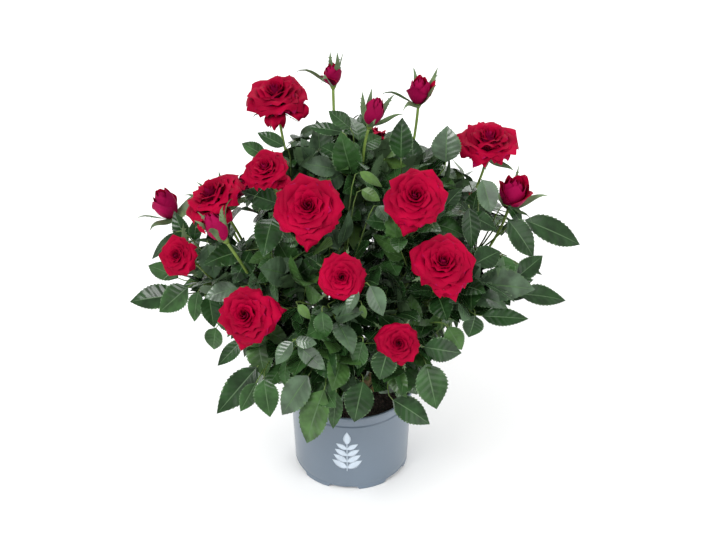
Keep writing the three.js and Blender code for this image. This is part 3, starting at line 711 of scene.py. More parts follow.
class Crown:
    """What grows in the masses: limbs to be made into twigs, and leaflets. It keeps what foliage must clear."""

    def __init__(self, canes, masses, flowers):
        self.masses = masses
        lines = [*canes, *(mass.line for mass in masses), *(flower.stalk for flower in flowers)]
        self.limbs = np.concatenate([on_curve(line, np.linspace(0, 1, 40)) for line in lines])
        # Balls that leaves stay out of: each flower, the space before each open one, and along each stalk.
        balls = [(f.middle, 1.1 * f.radius) for f in flowers]
        balls += [(f.middle + f.axis * 0.7 * f.radius, 0.95 * f.radius) for f in flowers if f.is_open]
        balls += [(on_curve(f.stalk, share), 9.0) for f in flowers for share in (0.45, 0.7, 0.95)]
        self.ball_middles = np.array([middle for middle, _ in balls])
        self.ball_radii = np.array([radius for _, radius in balls])
        self.middles = np.zeros((0, 3))
        self.twigs = []
        self.blades = []

    def in_the_open(self, points, mass, sharing=SHARING):
        """Whether points of a twig or leaf are in their mass's space, clear of the flowers and of the pot."""
        if depth_in_space(points, mass, sharing).min() < INSIDE:
            return False
        over_pot = np.hypot(points[:, 0], points[:, 1]) < POT.rim + POT_GAP
        if (over_pot & (points[:, 2] < POT.height + POT_GAP)).any():
            return False
        gaps = np.linalg.norm(points[:, None] - self.ball_middles, axis=-1) - self.ball_radii
        return gaps.min() > MARGIN and within_edges(points)

    def grow_twig(self, mass, line_from, share, rank, length, radius, seed):
        """A twig from a limb, as a list of one line, or of none where it can't grow in the open. It starts at the
        golden angle from the twig before it, and is turned on round the limb until it is clear."""
        start, tangent = on_curve(line_from, share), way_of(line_from, share)
        outward = unit(start - HEART)
        for turn in TURNS:
            out = around(tangent, rank * GOLDEN + turn + 360 * scatter(mass.index, rank, seed))
            heads = blend((0.9, out), (0.4, tangent), (0.3, outward))
            middle = start + blend((0.6, heads), (0.5, tangent)) * length / 2
            line = [start, middle, start + heads * length]
            if self.in_the_open(on_curve(line, [0.3, 0.55, 0.8, 1.0]), mass, 0):
                self.twigs.append((line, 0.0, tapered(*radius)))
                return [line]
        return []

    def grow_leaf(self, mass, line, share, number, most=1.0):
        """A compound leaf at a station on a limb, turned until its stalk and most of its leaflets are clear. Its
        tone is the first whose step its draw doesn't pass. Number 0 is the leaf that leads its mass."""
        point, tangent = on_curve(line, share), way_of(line, share)
        leads = number == 0
        size = most * (0.8 if mass.height > HIGH_MASS else 1)
        size *= 1 if leads else mix(0.5, 0.98, scatter(mass.index, number, 1))
        outward = unit(point - HEART)
        facing = blend((0.65, outward), (0.75, UP))
        tone = int(np.searchsorted(TONE_STEPS, scatter(mass.index, number, 7)))
        for turn in TURNS:
            out = around(tangent, number * GOLDEN + turn + 60 * scatter(mass.index, number, 2))
            if leads:
                direction = blend((1, mass.direction), (0.3 if turn else 0, out))
            else:
                direction = blend((0.9, out), (0.3, tangent), (0.32, outward))
            droop = 0 if leads else mix(0.0, 0.45, scatter(mass.index, number, 3)) * np.hypot(*direction[:2])
            reach = LEAF.stalk * size
            end = point + direction * reach - UP * droop * reach
            stalk = [point, point + direction * 0.5 * reach, end]
            if not self.in_the_open(on_curve(stalk, [0.3, 0.55, 0.8, 1.0]), mass):
                continue
            leaf = (mass, stalk, facing, size, number, tone)
            made = [self.lay_leaflet(*leaf, which) for which in range(len(LEAFLETS))]
            kept = [one for one in made if self.fits(one, mass)]
            if len(kept) > (0 if leads else 2) and kept[0] is made[0]:
                self.blades += kept
                marks = [one.root + one.direction * 0.45 * one.length for one in kept]
                self.middles = np.concatenate([self.middles, marks])
                self.twigs.append((stalk, 0.0, tapered(0.75 * size + 0.1, 0.45)))
                return

    def lay_leaflet(self, mass, stalk, facing, size, number, tone, which):
        """One leaflet of a leaf, its root sunk in the leaf's stalk."""
        at, swing, share = LEAFLETS[which]
        chance = [scatter(mass.index, number, which, key) for key in range(6)]
        tangent = way_of(stalk, at)
        normal = square_to(blend((1, facing), (0.75, heading(360 * chance[0], 0))), tangent)
        wing = np.cross(normal, tangent)
        swing = math.radians(swing + 16 * (chance[1] - 0.5))
        direction = blend((math.cos(swing), tangent), (math.sin(swing), wing))
        length = LEAF.length * size * share * mix(0.92, 1.06, chance[2])
        return SimpleNamespace(
            root=on_curve(stalk, at) + direction * (2.5 if which == 0 else 0),
            direction=direction,
            normal=normal,
            length=length,
            width=length * mix(0.54, 0.66, chance[3]),
            bend=0.15 if number == 0 else mix(0.15, 0.8, chance[4]),
            fold=mix(0.06, 0.36, chance[5]),
            sweep=mix(-0.07, 0.07, chance[1]),
            phase=6.28 * chance[0],
            finish=tone,
        )

    def fits(self, blade, mass):
        """Whether a leaflet is in the open, off every limb, and not on top of another leaflet. Five points of it
        are tried: near its root, on both its edges, past its middle and at its tip."""
        forward, out = np.array([[0.25, 0.45, 0.45, 0.7, 1.0]]), np.array([[0, -0.9, 0.9, 0, 0]])
        points = blade_points(gather([blade]), forward, out, np.zeros(5))[0]
        if not self.in_the_open(points, mass):
            return False
        if np.linalg.norm(points[:, None] - self.limbs, axis=-1).min() < LIMB_GAP:
            return False
        middle = blade.root + blade.direction * 0.45 * blade.length
        return not len(self.middles) or np.linalg.norm(self.middles - middle, axis=-1).min() > LEAFLET_GAP

    def hang_outer(self, mass):
        """The leaflets of a mass that stand out at the crown's edge, each on a twig from the nearest part of the
        mass's stem. They face half towards where the plant is looked at from."""
        stem = on_curve(mass.line, np.linspace(mass.entry, 1, 20))
        for rank, (root, tip, width, tone) in enumerate(OUTER_LEAVES.get(mass.name, ())):
            root, tip = off_sheet(*root), off_sheet(*tip)
            direction, length = unit(tip - root), np.linalg.norm(tip - root)
            chance = [scatter(mass.index, OUTER_SEED + rank, key) for key in range(5)]
            towards = unit(VIEWPOINT - root)
            outward, aside = unit(root - HEART), heading(360 * chance[0], 0)
            facing = blend((0.6, towards), (0.3, UP), (0.2, outward), (0.25, aside))
            gaps = np.linalg.norm(stem - root + 0.3 * length * direction, axis=-1)
            foot = stem[np.argmin(gaps)]
            behind = min(0.4 * np.linalg.norm(root - foot), 12)
            stalk = [foot, mix(foot, root, 0.6) - 0.8 * behind * towards, root - behind * direction, root]
            self.twigs.append((stalk, 0.0, tapered(0.9, 0.45)))
            leaflet = SimpleNamespace(
                root=root - direction * 0.5,
                direction=direction,
                normal=square_to(facing, direction),
                length=length + 0.5,
                width=width,
                bend=mix(0.15, 0.5, chance[1]),
                fold=mix(0.12, 0.42, chance[2]),
                sweep=mix(-0.05, 0.05, chance[3]),
                phase=6.28 * chance[0],
                finish=tone,
            )
            self.blades.append(leaflet)
            marks = root + direction * length * np.array([[0.15], [0.4], [0.65]])
            self.middles = np.concatenate([self.middles, marks])

    def fill(self, mass):
        """The stem, twigs, finer twigs and leaves of one mass. Leaves are numbered in the order they are tried."""
        self.twigs.append((mass.line, mass.entry, tapered(1.7, 1.1)))
        self.hang_outer(mass)
        numbers = itertools.count()
        self.grow_leaf(mass, mass.line, 1.0, next(numbers))
        sprays = []
        for rank, share in enumerate(TWIG_STARTS):
            length = TWIG.length * mix(0.8, 1.1, scatter(mass.index, rank, 5))
            sprays += self.grow_twig(mass, mass.line, mix(mass.entry, 1, share), rank, length, (1.2, 0.8), 4)
        for flower in mass.flowers:
            self.twigs.append((flower.twig, 0.0, tapered(1.3, 1.2)))
            sprays.append(flower.twig)
        for spray, line in enumerate(sprays):
            for share in (1.0, 0.35, 0.6, 0.82):
                self.grow_leaf(mass, line, share, next(numbers))
            for rank, share in enumerate((0.45, 0.75)):
                fine = self.grow_twig(mass, line, share, 10 * spray + rank, TWIG.fine, (0.8, 0.55), 6)
                for twiglet in fine:
                    for share_on in (1.0, 0.5):
                        self.grow_leaf(mass, twiglet, share_on, next(numbers), 0.85)
        for share in np.linspace(0.08, 0.9, 8):
            self.grow_leaf(mass, mass.line, mix(mass.entry, 1, share), next(numbers))


# ---- Petals ----

PETAL_THICKNESS = 0.45
SEPAL_THICKNESS = 0.4
TINY = 1e-9  # keeps divisions away from zero

# How an open rose's petals change from its heart to its rim. The knots are ages, from 0 for the innermost petal
# to 1 for the outermost. Lengths are shares of the flower's radius, and angles are from its axis, in degrees.
AGES = (0, 0.1, 0.25, 0.4, 0.55, 0.7, 0.85, 1.0)
TIP_OUT = (0.02, 0.11, 0.24, 0.39, 0.55, 0.72, 0.88, 1.0)
TIP_UP = (0.4, 0.4, 0.37, 0.33, 0.27, 0.2, 0.1, -0.05)
TIP_TURN = (-32, -8, 16, 36, 52, 66, 84, 108)
FOOT_LEAN = (0, 6, 16, 27, 38, 48, 58, 68)
WRAP = (150, 112, 78, 62, 54, 48, 44, 41)

# Petals that hang below a rose's rim: their directions round it, from its left by way of its front, in degrees.
FALLEN = {
    "rose_top_left": (100, 168),
    "rose_left": (112, 175),
    "rose_upper_left": (186,),
    "rose_front_left": (92,),
    "rose_front_right": (76,),
    "rose_middle_right": (104,),
    "rose_lower_left": (76, 205),
    "rose_back": (80, 170),
    "rose_back_left": (20,),
    "rose_back_right": (140,),
}

# How far each bud has opened, from 0 for a closed point to 1 for a loose cup, and how far its sepals lean out.
BUD_FORMS = {
    "bud_top": (0.95, 33),
    "bud_middle": (0.1, 46),
    "bud_top_right": (0.9, 48),
    "bud_right": (1.0, 56),
    "bud_far_left": (0.7, 60),
    "bud_left": (0.15, 28),
    "bud_back": (0.5, 34),
}
OPEN_SEPALS = (104, 26)  # how far an open rose's sepals lean out, in degrees, and their length


def turned(local_out, local_up, aside, degrees):
    """Sheets put round the upright axis: out from it, up along it and aside, turned by an angle."""
    turn = np.radians(degrees)
    x = local_out * np.cos(turn) - aside * np.sin(turn)
    y = local_out * np.sin(turn) + aside * np.cos(turn)
    return np.stack(np.broadcast_arrays(x, y, local_up), -1)


def arced(half, curl, over):
    """How far aside and inward the points across a petal are. They lie on an arc that runs half the petal's
    width each way and turns by curl on the way."""
    return half * np.sin(curl * over) / curl, half * (1 - np.cos(curl * over)) / curl


def on_midline(out, height, inward, aside, degrees):
    """Sheets on a midline in the plane of the axis: each point is moved inward, square to the midline's run,
    and aside, and all are turned round the axis."""
    step_out, step_up = np.gradient(out, axis=1), np.gradient(height, axis=1)
    size = np.hypot(step_out, step_up) + TINY
    return turned(out - inward * step_up / size, height + inward * step_out / size, aside, degrees)


def rolled(share, start, power):
    """The share of its roll that each point has: none up to a start, and then a power of the rest of the way."""
    return np.clip((share - start) / (1 - start), 0, 1) ** power


def petal_sheets(flower, count, rows=10, columns=11):
    """The petals of an open rose, as sheets (count, rows, columns, 3) in the flower's own frame.

    Petal number k leaves the hip at the golden angle from the one before. Its midline is a Bezier curve in the
    plane of the axis: inner petals stand up and close in, outer ones lean out and roll over. Across the petal,
    points lie on an arc whose angle is the share of the axis that the petal wraps, and the arc flattens towards
    the outer tips. The end of the petal falls away to its sides and has a small point, and its rim rolls back.
    """
    radius = flower.radius
    fallen = FALLEN.get(flower.name, ())
    number = np.arange(count + len(fallen))
    age = np.minimum(number / (count - 1), 1)[:, None, None]
    fall = (number >= count)[:, None, None].astype(float)
    chance = [scatter(flower.index + 3, number, key)[:, None, None] for key in range(8)]
    along = np.linspace(0, 1, rows)[None, :, None] ** 0.75
    over = np.linspace(-1, 1, columns)[None, None]
    point = mix(0.05, 0.15, chance[5]) * np.exp(-((np.abs(over) / 0.24) ** 1.5)) * np.minimum(2 * age, 1)
    ends = 1 - mix(0.16, 0.26, age) * np.abs(over) ** mix(2.3, 2.0, age) + point - 0.14 * over * (chance[6] - 0.5)
    travel = np.clip(along * ends, 0, 1.1)
    shares_out, shares_up, tip_turn, foot_lean, wraps = (
        np.interp(age, AGES, knots) for knots in (TIP_OUT, TIP_UP, TIP_TURN, FOOT_LEAN, WRAP)
    )
    foot = (radius * mix(0.02, 0.11, age), -flower.depth + 4.5)
    tip_out = radius * shares_out * mix(0.86, 1.03, chance[0]) + 0.12 * radius * fall
    tip_up = radius * (shares_up + 0.13 * (chance[1] - 0.5) * np.minimum(3 * age, 1)) - 0.42 * radius * fall
    lean = np.radians(foot_lean + 10 * (chance[7] - 0.5) + 14 * fall)
    roll = np.radians(tip_turn + 40 * (chance[2] - 0.5) * age + 40 * fall)
    span = np.hypot(tip_out - foot[0], tip_up - foot[1])
    first = (foot[0] + 0.42 * span * np.sin(lean), foot[1] + 0.42 * span * np.cos(lean))
    second = (tip_out - 0.36 * span * np.sin(roll), tip_up - 0.36 * span * np.cos(roll))
    rest = 1 - travel

    def profile(axis, tip):
        """One part of the midline's Bezier curve: out or up."""
        near = rest**3 * foot[axis] + 3 * rest**2 * travel * first[axis]
        return near + 3 * rest * travel**2 * second[axis] + travel**3 * tip

    out, height = profile(0, tip_out), profile(1, tip_up)
    wrap = np.radians(wraps) * (1 - 0.5 * fall)
    widening = mix(0.42, 1.0, np.sin(np.pi / 2 * np.minimum(travel / 0.8, 1)))
    half = np.maximum(wrap * tip_out, 0.13 * radius) * widening * (1 - mix(0.15, 0.42, age) * along**6)
    aside, inward = arced(half, wrap * mix(1.0, mix(1.0, 0.35, age), along**2), over)
    lip = radius * mix(0.055, 0.09, np.minimum(3 * age, 1))
    sides = rolled(np.abs(over), 0.4, 1.8) * along**2
    back = lip * rolled(along, 0.72, 2.2) + lip * sides * mix(1.2, 3.2, age) * mix(0.3, 1, age)
    wave = radius * (0.05 * age + 0.05 * fall) * along**2 * np.sin(mix(3, 8, chance[5]) * over + 6.28 * chance[3])
    spiral = radius * 0.04 * over * (1 - 0.5 * age)
    inward = inward - back + wave + spiral
    turn = np.where(number < count, GOLDEN * number + 40 * flower.index, 0.0) + 26 * (chance[4].ravel() - 0.5)
    turn[count:] += fallen
    return on_midline(out, height, inward, aside, turn[:, None, None])


def bud_sheets(flower, count, rows=10, columns=12):
    """The petals of a bud, as sheets in the flower's own frame: each leaves the hip upright, swells, and closes
    over the ones inside it. On a larger bud the last ones loosen and turn out at their points."""
    radius = flower.radius
    number = np.arange(count)
    age = (number / (count - 1))[:, None, None]
    chance = [scatter(flower.index + 3, number, key)[:, None, None] for key in range(6)]
    along = np.linspace(0, 1, rows)[None, :, None] ** 0.85
    over = np.linspace(-1, 1, columns)[None, None]
    opening, _ = BUD_FORMS[flower.name]
    loose = np.clip((age - mix(0.92, 0.85, opening)) / 0.1, 0, 1) * opening * mix(0.1, 1.0, chance[0] ** 2)
    point = 0.1 * np.exp(-((over / 0.25) ** 2))
    travel = np.minimum(along * (1 - mix(0.1, 0.4, age) * np.abs(over) ** 1.3 + point), 1.06)
    foot = -flower.depth + 3.0
    tip_out = radius * mix(0.06, mix(0.42, 0.86, opening), age) * mix(0.9, 1.1, chance[1]) + loose * radius * 0.45
    tip_up = radius * mix(1.9, 1.3, opening) * mix(1.0, 0.82, age * chance[2]) - loose * radius * 0.4
    belly = radius * mix(0.3, mix(0.98, 0.9, opening), age**0.6)
    rest = 1 - travel
    out = 3 * rest**2 * travel * belly * 1.05 + 3 * rest * travel**2 * belly * 0.95 + travel**3 * tip_out
    out = out + rest**3 * 0.12 * radius
    height = mix(foot, tip_up, travel**1.1)
    wrap = np.radians(mix(130, 78, age**0.6))
    aside, inward = arced(wrap * np.maximum(out, 0.1 * radius), wrap * (1 - 0.55 * loose * along), over)
    lip = radius * (0.07 * age + 0.16 * loose)
    back = lip * rolled(along, 0.75, 2) + lip * (rolled(np.abs(over), 0.6, 2) * along)
    inward = inward - back + radius * 0.06 * over
    turn = GOLDEN * number[:, None, None] + 14 * (chance[4] - 0.5) + 70 * flower.index
    return on_midline(out, height, inward, aside, turn)


def stood(flower, points):
    """Points of a flower's own frame, put where the flower is: its frame's upright lies along its axis."""
    side = across(flower.axis)
    turn = np.stack([side, np.cross(flower.axis, side), flower.axis])
    return flower.middle + points @ turn


def petals_of(flower, open_count, bud_count):
    """A flower's petals as closed thin shells."""
    made = petal_sheets(flower, open_count) if flower.is_open else bud_sheets(flower, bud_count)
    sheets = stood(flower, made)
    return thin_shells(sheets, -normals_of(sheets), PETAL_THICKNESS, 0, 1)


def sepal_sheets(flower, lean, length):
    """Five narrow sepals as sheets: a midline that leans out from the hip and then curls back, and a width that
    swells near the foot and runs to a fine point."""
    number = np.arange(5)[:, None, None]
    along = np.linspace(0, 1, 9)[None, :, None]
    over = np.linspace(-1, 1, 5)[None, None]
    chance = scatter(flower.index, number, 11)
    angle = np.radians(lean * (1.2 - 0.5 * along) + 40 * (chance - 0.5) + 30 * chance * along**4)
    reach = length * mix(0.85, 1.15, scatter(flower.index, number, 12))
    out = 2.6 + reach * along * np.sin(angle)
    height = -flower.depth + 3.2 + reach * along * np.cos(angle)
    half = 5.2 * (1 - along) ** 0.75 * (0.65 + 1.6 * along * (1 - along)) + 0.15
    twist = np.radians(64 * np.where(scatter(flower.index, number, 13) < 0.5, -1, 1)) * along**0.4
    aside, cup = half * over * np.cos(twist), 0.3 * half * over**2
    height = height + half * over * np.sin(twist) * np.sin(angle)
    out = out - half * over * np.sin(twist) * np.cos(angle)
    return turned(out - cup, height, aside, 72 * number + 20 + 30 * flower.index)


def greens_of(flower):
    """The stalk, hip and calyx that carry a flower, as patches, and the calyx's sheets."""
    grown_by = mix(0.8, 1.1, flower.radius / 33)
    hip = [flower.stalk[2] + flower.axis * along for along in (-1.2, 2.0, 6.5)]

    def swell(share):
        """The hip's radius, which is greatest past its middle."""
        return grown_by * np.interp(share, [0, 0.3, 0.65, 1], [1.7, 3.0, 3.9, 3.3])

    made = [tube(flower.stalk, tapered(1.25, 1.5), 8, 10), tube(hip, swell, 10, 8)]
    lean, length = OPEN_SEPALS if flower.is_open else (BUD_FORMS[flower.name][1], 26 + flower.radius)
    sheets = stood(flower, sepal_sheets(flower, lean, length))
    made.append(thin_shells(sheets, -normals_of(sheets), SEPAL_THICKNESS, 1, 1))
    return made, sheets


def sepal_lobes(sheets, finish):
    """Narrow blades in pairs along the outer half of three of a flower's sepals."""
    blades = []
    for index in (0, 2, 3):
        middle = sheets[index, :, 2]
        across_it = unit(sheets[index, 3, 4] - sheets[index, 3, 0])
        for station in (4, 5, 6):
            ahead = unit(middle[station + 1] - middle[station - 1])
            for way in (-1, 1):
                direction = blend((0.75, ahead), (0.65 * way, across_it))
                lobe = SimpleNamespace(width=1.3, bend=0.3, fold=0.1, sweep=0.0, phase=0.0, finish=finish)
                lobe.root, lobe.direction = middle[station], direction
                lobe.normal = square_to(np.cross(ahead, across_it), direction)
                lobe.length = 4.6 - 0.5 * (station - 4)
                blades.append(lobe)
    return blades


# ---- Materials ----

VEINS = 7  # side veins on each half of a leaflet


def material(name, colour, roughness, **sockets):
    """A material with plain values on its shader's own sockets. Detail is linked on afterwards."""
    made = bpy.data.materials.new(name)
    made.use_nodes = True
    shader = made.node_tree.nodes["Principled BSDF"]
    shader.inputs["Base Color"].default_value = (*colour, 1)
    shader.inputs["Roughness"].default_value = roughness
    for socket, value in sockets.items():
        shader.inputs[socket].default_value = value
    made.diffuse_color = (*colour, 1)
    return made


def node(made, kind, **settings):
    """A node whose attributes are set by name, and inputs by a name in title case."""
    new = made.node_tree.nodes.new("ShaderNode" + kind)
    for key, value in settings.items():
        if key in new.inputs:
            new.inputs[key].default_value = value
        else:
            setattr(new, key, value)
    return new


def link(made, source, output, target, socket):
    """Joins an output of one node to an input of another."""
    made.node_tree.links.new(source.outputs[output], target.inputs[socket])


def worked_out(made, operation, *terms):
    """The output of a node that works something out from numbers and other nodes' outputs."""
    new = node(made, "Math", operation=operation)
    for slot, term in enumerate(terms):
        if isinstance(term, (int, float)):
            new.inputs[slot].default_value = term
        else:
            made.node_tree.links.new(term, new.inputs[slot])
    return new.outputs["Value"]


def mottled(made, low, high, scale, detail=4.0, stretch=(1, 1, 1), roughness_range=None, bump=0.0, bump_scale=None):
    """Cloudy colour from low to high on object coordinates, and where asked cloudy roughness and fine relief."""
    shader = made.node_tree.nodes["Principled BSDF"]
    where = node(made, "TexCoord")
    stretched = node(made, "Mapping", Scale=stretch)
    link(made, where, "Object", stretched, "Vector")
    cloud = node(made, "TexNoise", Scale=scale, Detail=detail)
    link(made, stretched, "Vector", cloud, "Vector")
    ramp = node(made, "ValToRGB")
    ramp.color_ramp.elements[0].position, ramp.color_ramp.elements[0].color = 0.36, (*low, 1)
    ramp.color_ramp.elements[1].position, ramp.color_ramp.elements[1].color = 0.66, (*high, 1)
    link(made, cloud, "Fac", ramp, "Fac")
    link(made, ramp, "Color", shader, "Base Color")
    if roughness_range:
        spread = node(made, "MapRange")
        spread.inputs["To Min"].default_value, spread.inputs["To Max"].default_value = roughness_range
        link(made, cloud, "Fac", spread, "Value")
        link(made, spread, "Result", shader, "Roughness")
    if bump:
        grain = node(made, "TexNoise", Scale=bump_scale or scale * 6, Detail=3.0)
        link(made, stretched, "Vector", grain, "Vector")
        relief = node(made, "Bump", Strength=bump, Distance=0.0006)
        link(made, grain, "Fac", relief, "Height")
        link(made, relief, "Normal", shader, "Normal")
    return made


def shade(colour, factor):
    """A colour made lighter or darker."""
    return tuple(min(1.0, channel * factor) for channel in colour)


def clouded(name, colour, roughness, dark, light, scale, sockets=None, **more):
    """A material mottled between a darker and a lighter shade of its colour."""
    made = material(name, colour, roughness, **(sockets or {}))
    return mottled(made, shade(colour, dark), shade(colour, light), scale, **more)


def leaf_material(name, colour, roughness, veins, gloss):
    """A leaf's skin: cloudy green, and side veins as relief: a sine of how far forward a spot on the leaf's own
    map is, less a share of how far out from the midrib."""
    made = clouded(name, colour, roughness, 0.62, 1.38, 70, {"Specular IOR Level": gloss}, detail=3.0)
    shader = made.node_tree.nodes["Principled BSDF"]
    uv = node(made, "UVMap", uv_map="UVMap")
    parts = node(made, "SeparateXYZ")
    link(made, uv, "UV", parts, "Vector")
    out = worked_out(made, "ABSOLUTE", worked_out(made, "SUBTRACT", parts.outputs["X"], 0.5))
    slant = worked_out(made, "MULTIPLY_ADD", out, -0.35, parts.outputs["Y"])
    waves = worked_out(made, "MULTIPLY", slant, VEINS * 2 * math.pi)
    relief = node(made, "Bump", Strength=veins, Distance=0.0009)
    made.node_tree.links.new(worked_out(made, "SINE", waves), relief.inputs["Height"])
    link(made, relief, "Normal", shader, "Normal")
    return made


# ---- Settings ----


def colour_setting(name, description, default):
    """A colour that a user may change."""
    return FloatVectorProperty(name=name, description=description, default=default, subtype="COLOR", min=0, max=1)


class PotSettings(bpy.types.PropertyGroup):
    """Sizes and colours of the pot and its soil."""

    plastic: colour_setting("Plastic", "Colour of the pot", (0.128, 0.168, 0.216))
    ink: colour_setting("Print", "Colour of the printed sprig", (0.55, 0.63, 0.72))
    soil: colour_setting("Soil", "Colour of the potting soil", (0.018, 0.012, 0.009))
    lip: FloatProperty(name="Lip", description="Thickness of the rolled rim", default=0.0032, unit="LENGTH")


class WoodSettings(bpy.types.PropertyGroup):
    """Colours of the woody parts."""

    bark: colour_setting("Bark", "Colour of the canes", (0.12, 0.085, 0.04))
    shoot: colour_setting("Shoots", "Colour of the green boughs and twigs", (0.085, 0.14, 0.028))
    relief: FloatProperty(name="Relief", description="Depth of the bark's ridges", default=0.07, subtype="FACTOR")


class LeafSettings(bpy.types.PropertyGroup):
    """Colours of the leaves."""

    deep: colour_setting("Deep green", "Colour of the older leaves", (0.014, 0.042, 0.011))
    middle: colour_setting("Middle green", "Colour of most outer leaves", (0.028, 0.075, 0.02))
    # The blue green is pale as painted sheen: the grey-blue reflection on glossy leaves is put into their colour.
    blue: colour_setting("Blue green", "Colour of the leaves with a painted_sheen", (0.058, 0.1, 0.055))
    bright: colour_setting("Bright green", "Colour of the younger leaves", (0.042, 0.098, 0.024))
    fresh: colour_setting("Fresh green", "Colour of the newest leaves", (0.066, 0.128, 0.03))
    underside: colour_setting("Underside", "Colour of the leaves' undersides", (0.075, 0.13, 0.06))
    rib: colour_setting("Rib", "Colour of the midribs", (0.05, 0.11, 0.035))


class FlowerSettings(bpy.types.PropertyGroup):
    """Colours and fullness of the flowers."""

    inside: colour_setting("Petal inside", "Colour of the petals' inner faces", (0.32, 0.0, 0.025))
    outside: colour_setting("Petal outside", "Colour of the petals' outer faces", (0.3, 0.003, 0.056))
    sepal: colour_setting("Sepals", "Colour of the calyx", (0.11, 0.17, 0.075))
    stalk: colour_setting("Stalks", "Colour of the flower stalks", (0.17, 0.26, 0.048))
    petals: IntProperty(name="Petals", description="Petals of an open rose", default=40, min=12, max=60)
    bud_petals: IntProperty(name="Bud petals", description="Petals of a bud", default=16, min=6, max=30)


class StageSettings(bpy.types.PropertyGroup):
    """The floor and the light."""

    floor: colour_setting("Floor", "Colour of the floor", (0.97, 0.97, 0.97))
    key: FloatProperty(name="Key light", description="Strength of the main light", default=30.0, unit="POWER")
    sky: FloatProperty(name="Sky", description="Strength of the even light", default=0.74)


SETTINGS = {
    "rose_pot": PotSettings,
    "rose_wood": WoodSettings,
    "rose_leaf": LeafSettings,
    "rose_flower": FlowerSettings,
    "rose_stage": StageSettings,
}


# ---- Operators ----


def wall_radius(height):
    """The radius of the pot's outside at a height."""
    return mix(POT.base, POT.shoulder, height / POT.height)


class ROSE_OT_pot(bpy.types.Operator):
    """Make the pot: a thin wall with a rolled rim and a groove under it, on six low feet"""

    bl_idname = "rose.pot"
    bl_label = "Pot"

    def execute(self, context):
        settings = context.scene.rose_pot
        sheen = {"Coat Weight": 0.3, "Coat Roughness": 0.2}
        plastic = clouded(
            "pot plastic", settings.plastic, 0.3, 0.94, 1.07, 9, sheen, roughness_range=(0.26, 0.4), bump=0.05
        )
        ink = clouded("pale print", settings.ink, 0.5, 0.93, 1.05, 60)
        piece("pot_body", self.wall(settings.lip / MM), [plastic], ["pot"], crease=34)
        piece("pot_sprig", self.sprig(), [ink], [])
        return {"FINISHED"}

    @staticmethod
    def wall(lip):
        """A closed profile of radius and height carried round the axis. Under the wall the lowest rings rise in
        six notches, so that the wall ends in feet."""
        turn = np.linspace(0, 2 * np.pi, 180, endpoint=False)
        phase = (np.degrees(turn) - POT.first_foot) % (360 / POT.feet)
        from_foot = np.minimum(phase, 360 / POT.feet - phase)
        notch = 3.6 * np.clip((from_foot - 14) / 2.2, 0, 1)
        at, top = wall_radius, POT.height
        roll = np.radians(np.linspace(-90, 180, 10))
        # Radius, height and whether the notches lift it: the middle pad and the floor's underside, the feet,
        # the wall with its groove and shoulder, the rolled rim, and the inside.
        profile = [(POT.hub, 0.0, 0), (POT.hub + 0.6, POT.foot - 0.4, 0), (POT.hub + 1, POT.foot, 0)]
        profile += [(POT.base - 4.2, POT.foot, 0), (POT.base - 3.6, POT.foot - 0.4, 0)]
        profile += [(POT.base - 3.4, 0.4, 1), (POT.base - 3.0, 0.0, 1), (POT.base - 0.6, 0.0, 1), (POT.base, 0.5, 1)]
        profile += [(at(5) + 0.05, 5.2, 0), (at(6) - 0.35, 6.0, 0), (at(7), 6.9, 0)]
        profile += [(at(height), height, 0) for height in np.linspace(12, top - 18, 12)]
        profile += [(at(84), 84.2, 0), (at(85) - 1.2, 85.2, 0), (at(86) - 1.2, 86.4, 0), (at(87) + 0.3, 87.4, 0)]
        profile += [(at(88) + 0.5, 88.2, 0), (at(93) + 0.5, 93.2, 0), (at(94) + 0.9, 94.2, 0)]
        bead = lip / 2
        profile += [(POT.rim - bead + bead * math.cos(a), top - bead + bead * math.sin(a), 0) for a in roll]
        profile += [(at(height) - POT.wall, height, 0) for height in (top - 4, 92, 84, 70, 40, 8)]
        profile += [(at(6) - POT.wall - 1, POT.foot + POT.wall, 0), (POT.hub, POT.foot + POT.wall, 0)]
        radius, height, low = (np.array(column, float) for column in zip(*profile))
        level = np.where(low[:, None] > 0, height[:, None] + notch, height[:, None])
        level = np.minimum(level, np.where(low[:, None] > 0, POT.foot + 0.2, np.inf))
        rings = np.stack([radius[:, None] * np.cos(turn), radius[:, None] * np.sin(turn), level], -1)
        return capped_rings(rings, [0, 0, 0.0], [0, 0, POT.foot + POT.wall])

    @staticmethod
    def sprig():
        """A printed sprig of nine leaves on the wall's front: flat outlines wrapped on the cone, a hair proud."""
        leaves = [(62, 90, 17)] + [(30 + 8.5 * k, 90 - way * 58, 19 - 1.8 * k) for k in range(4) for way in (-1, 1)]
        rows = np.linspace(0, 1, 9)
        made = []

        def wrapped(across_it, height, lift):
            """A flat place put on the wall: its azimuth is how far across it is, over the radius."""
            azimuth = np.radians(-94) + across_it / POT.shoulder
            radius = wall_radius(height) + lift
            return np.stack([radius * np.cos(azimuth), radius * np.sin(azimuth), height], -1)

        def flat(x, y):
            """A flat outline as a thin shell on the wall."""
            sheet = wrapped(x, y, 0.05)[None]
            outward = wrapped(x, y, 1.05)[None] - sheet
            return thin_shells(sheet, outward, 0.22, 0, 0)

        over = np.linspace(-1, 1, 5)[None]
        for foot, angle, length in leaves:
            run = rows[:, None] * length
            half = 0.24 * length * np.sin(np.pi * rows[:, None] ** 0.85) + 0.02
            ahead, aside = math.radians(angle), over * half
            cos, sin = math.cos(ahead), math.sin(ahead)
            made.append(flat(run * cos - aside * sin, foot + run * sin + aside * cos))
        stem = np.linspace(26, 64, 12)[:, None]
        made.append(flat(*np.broadcast_arrays(0.45 * over, stem)))
        return joined(made)


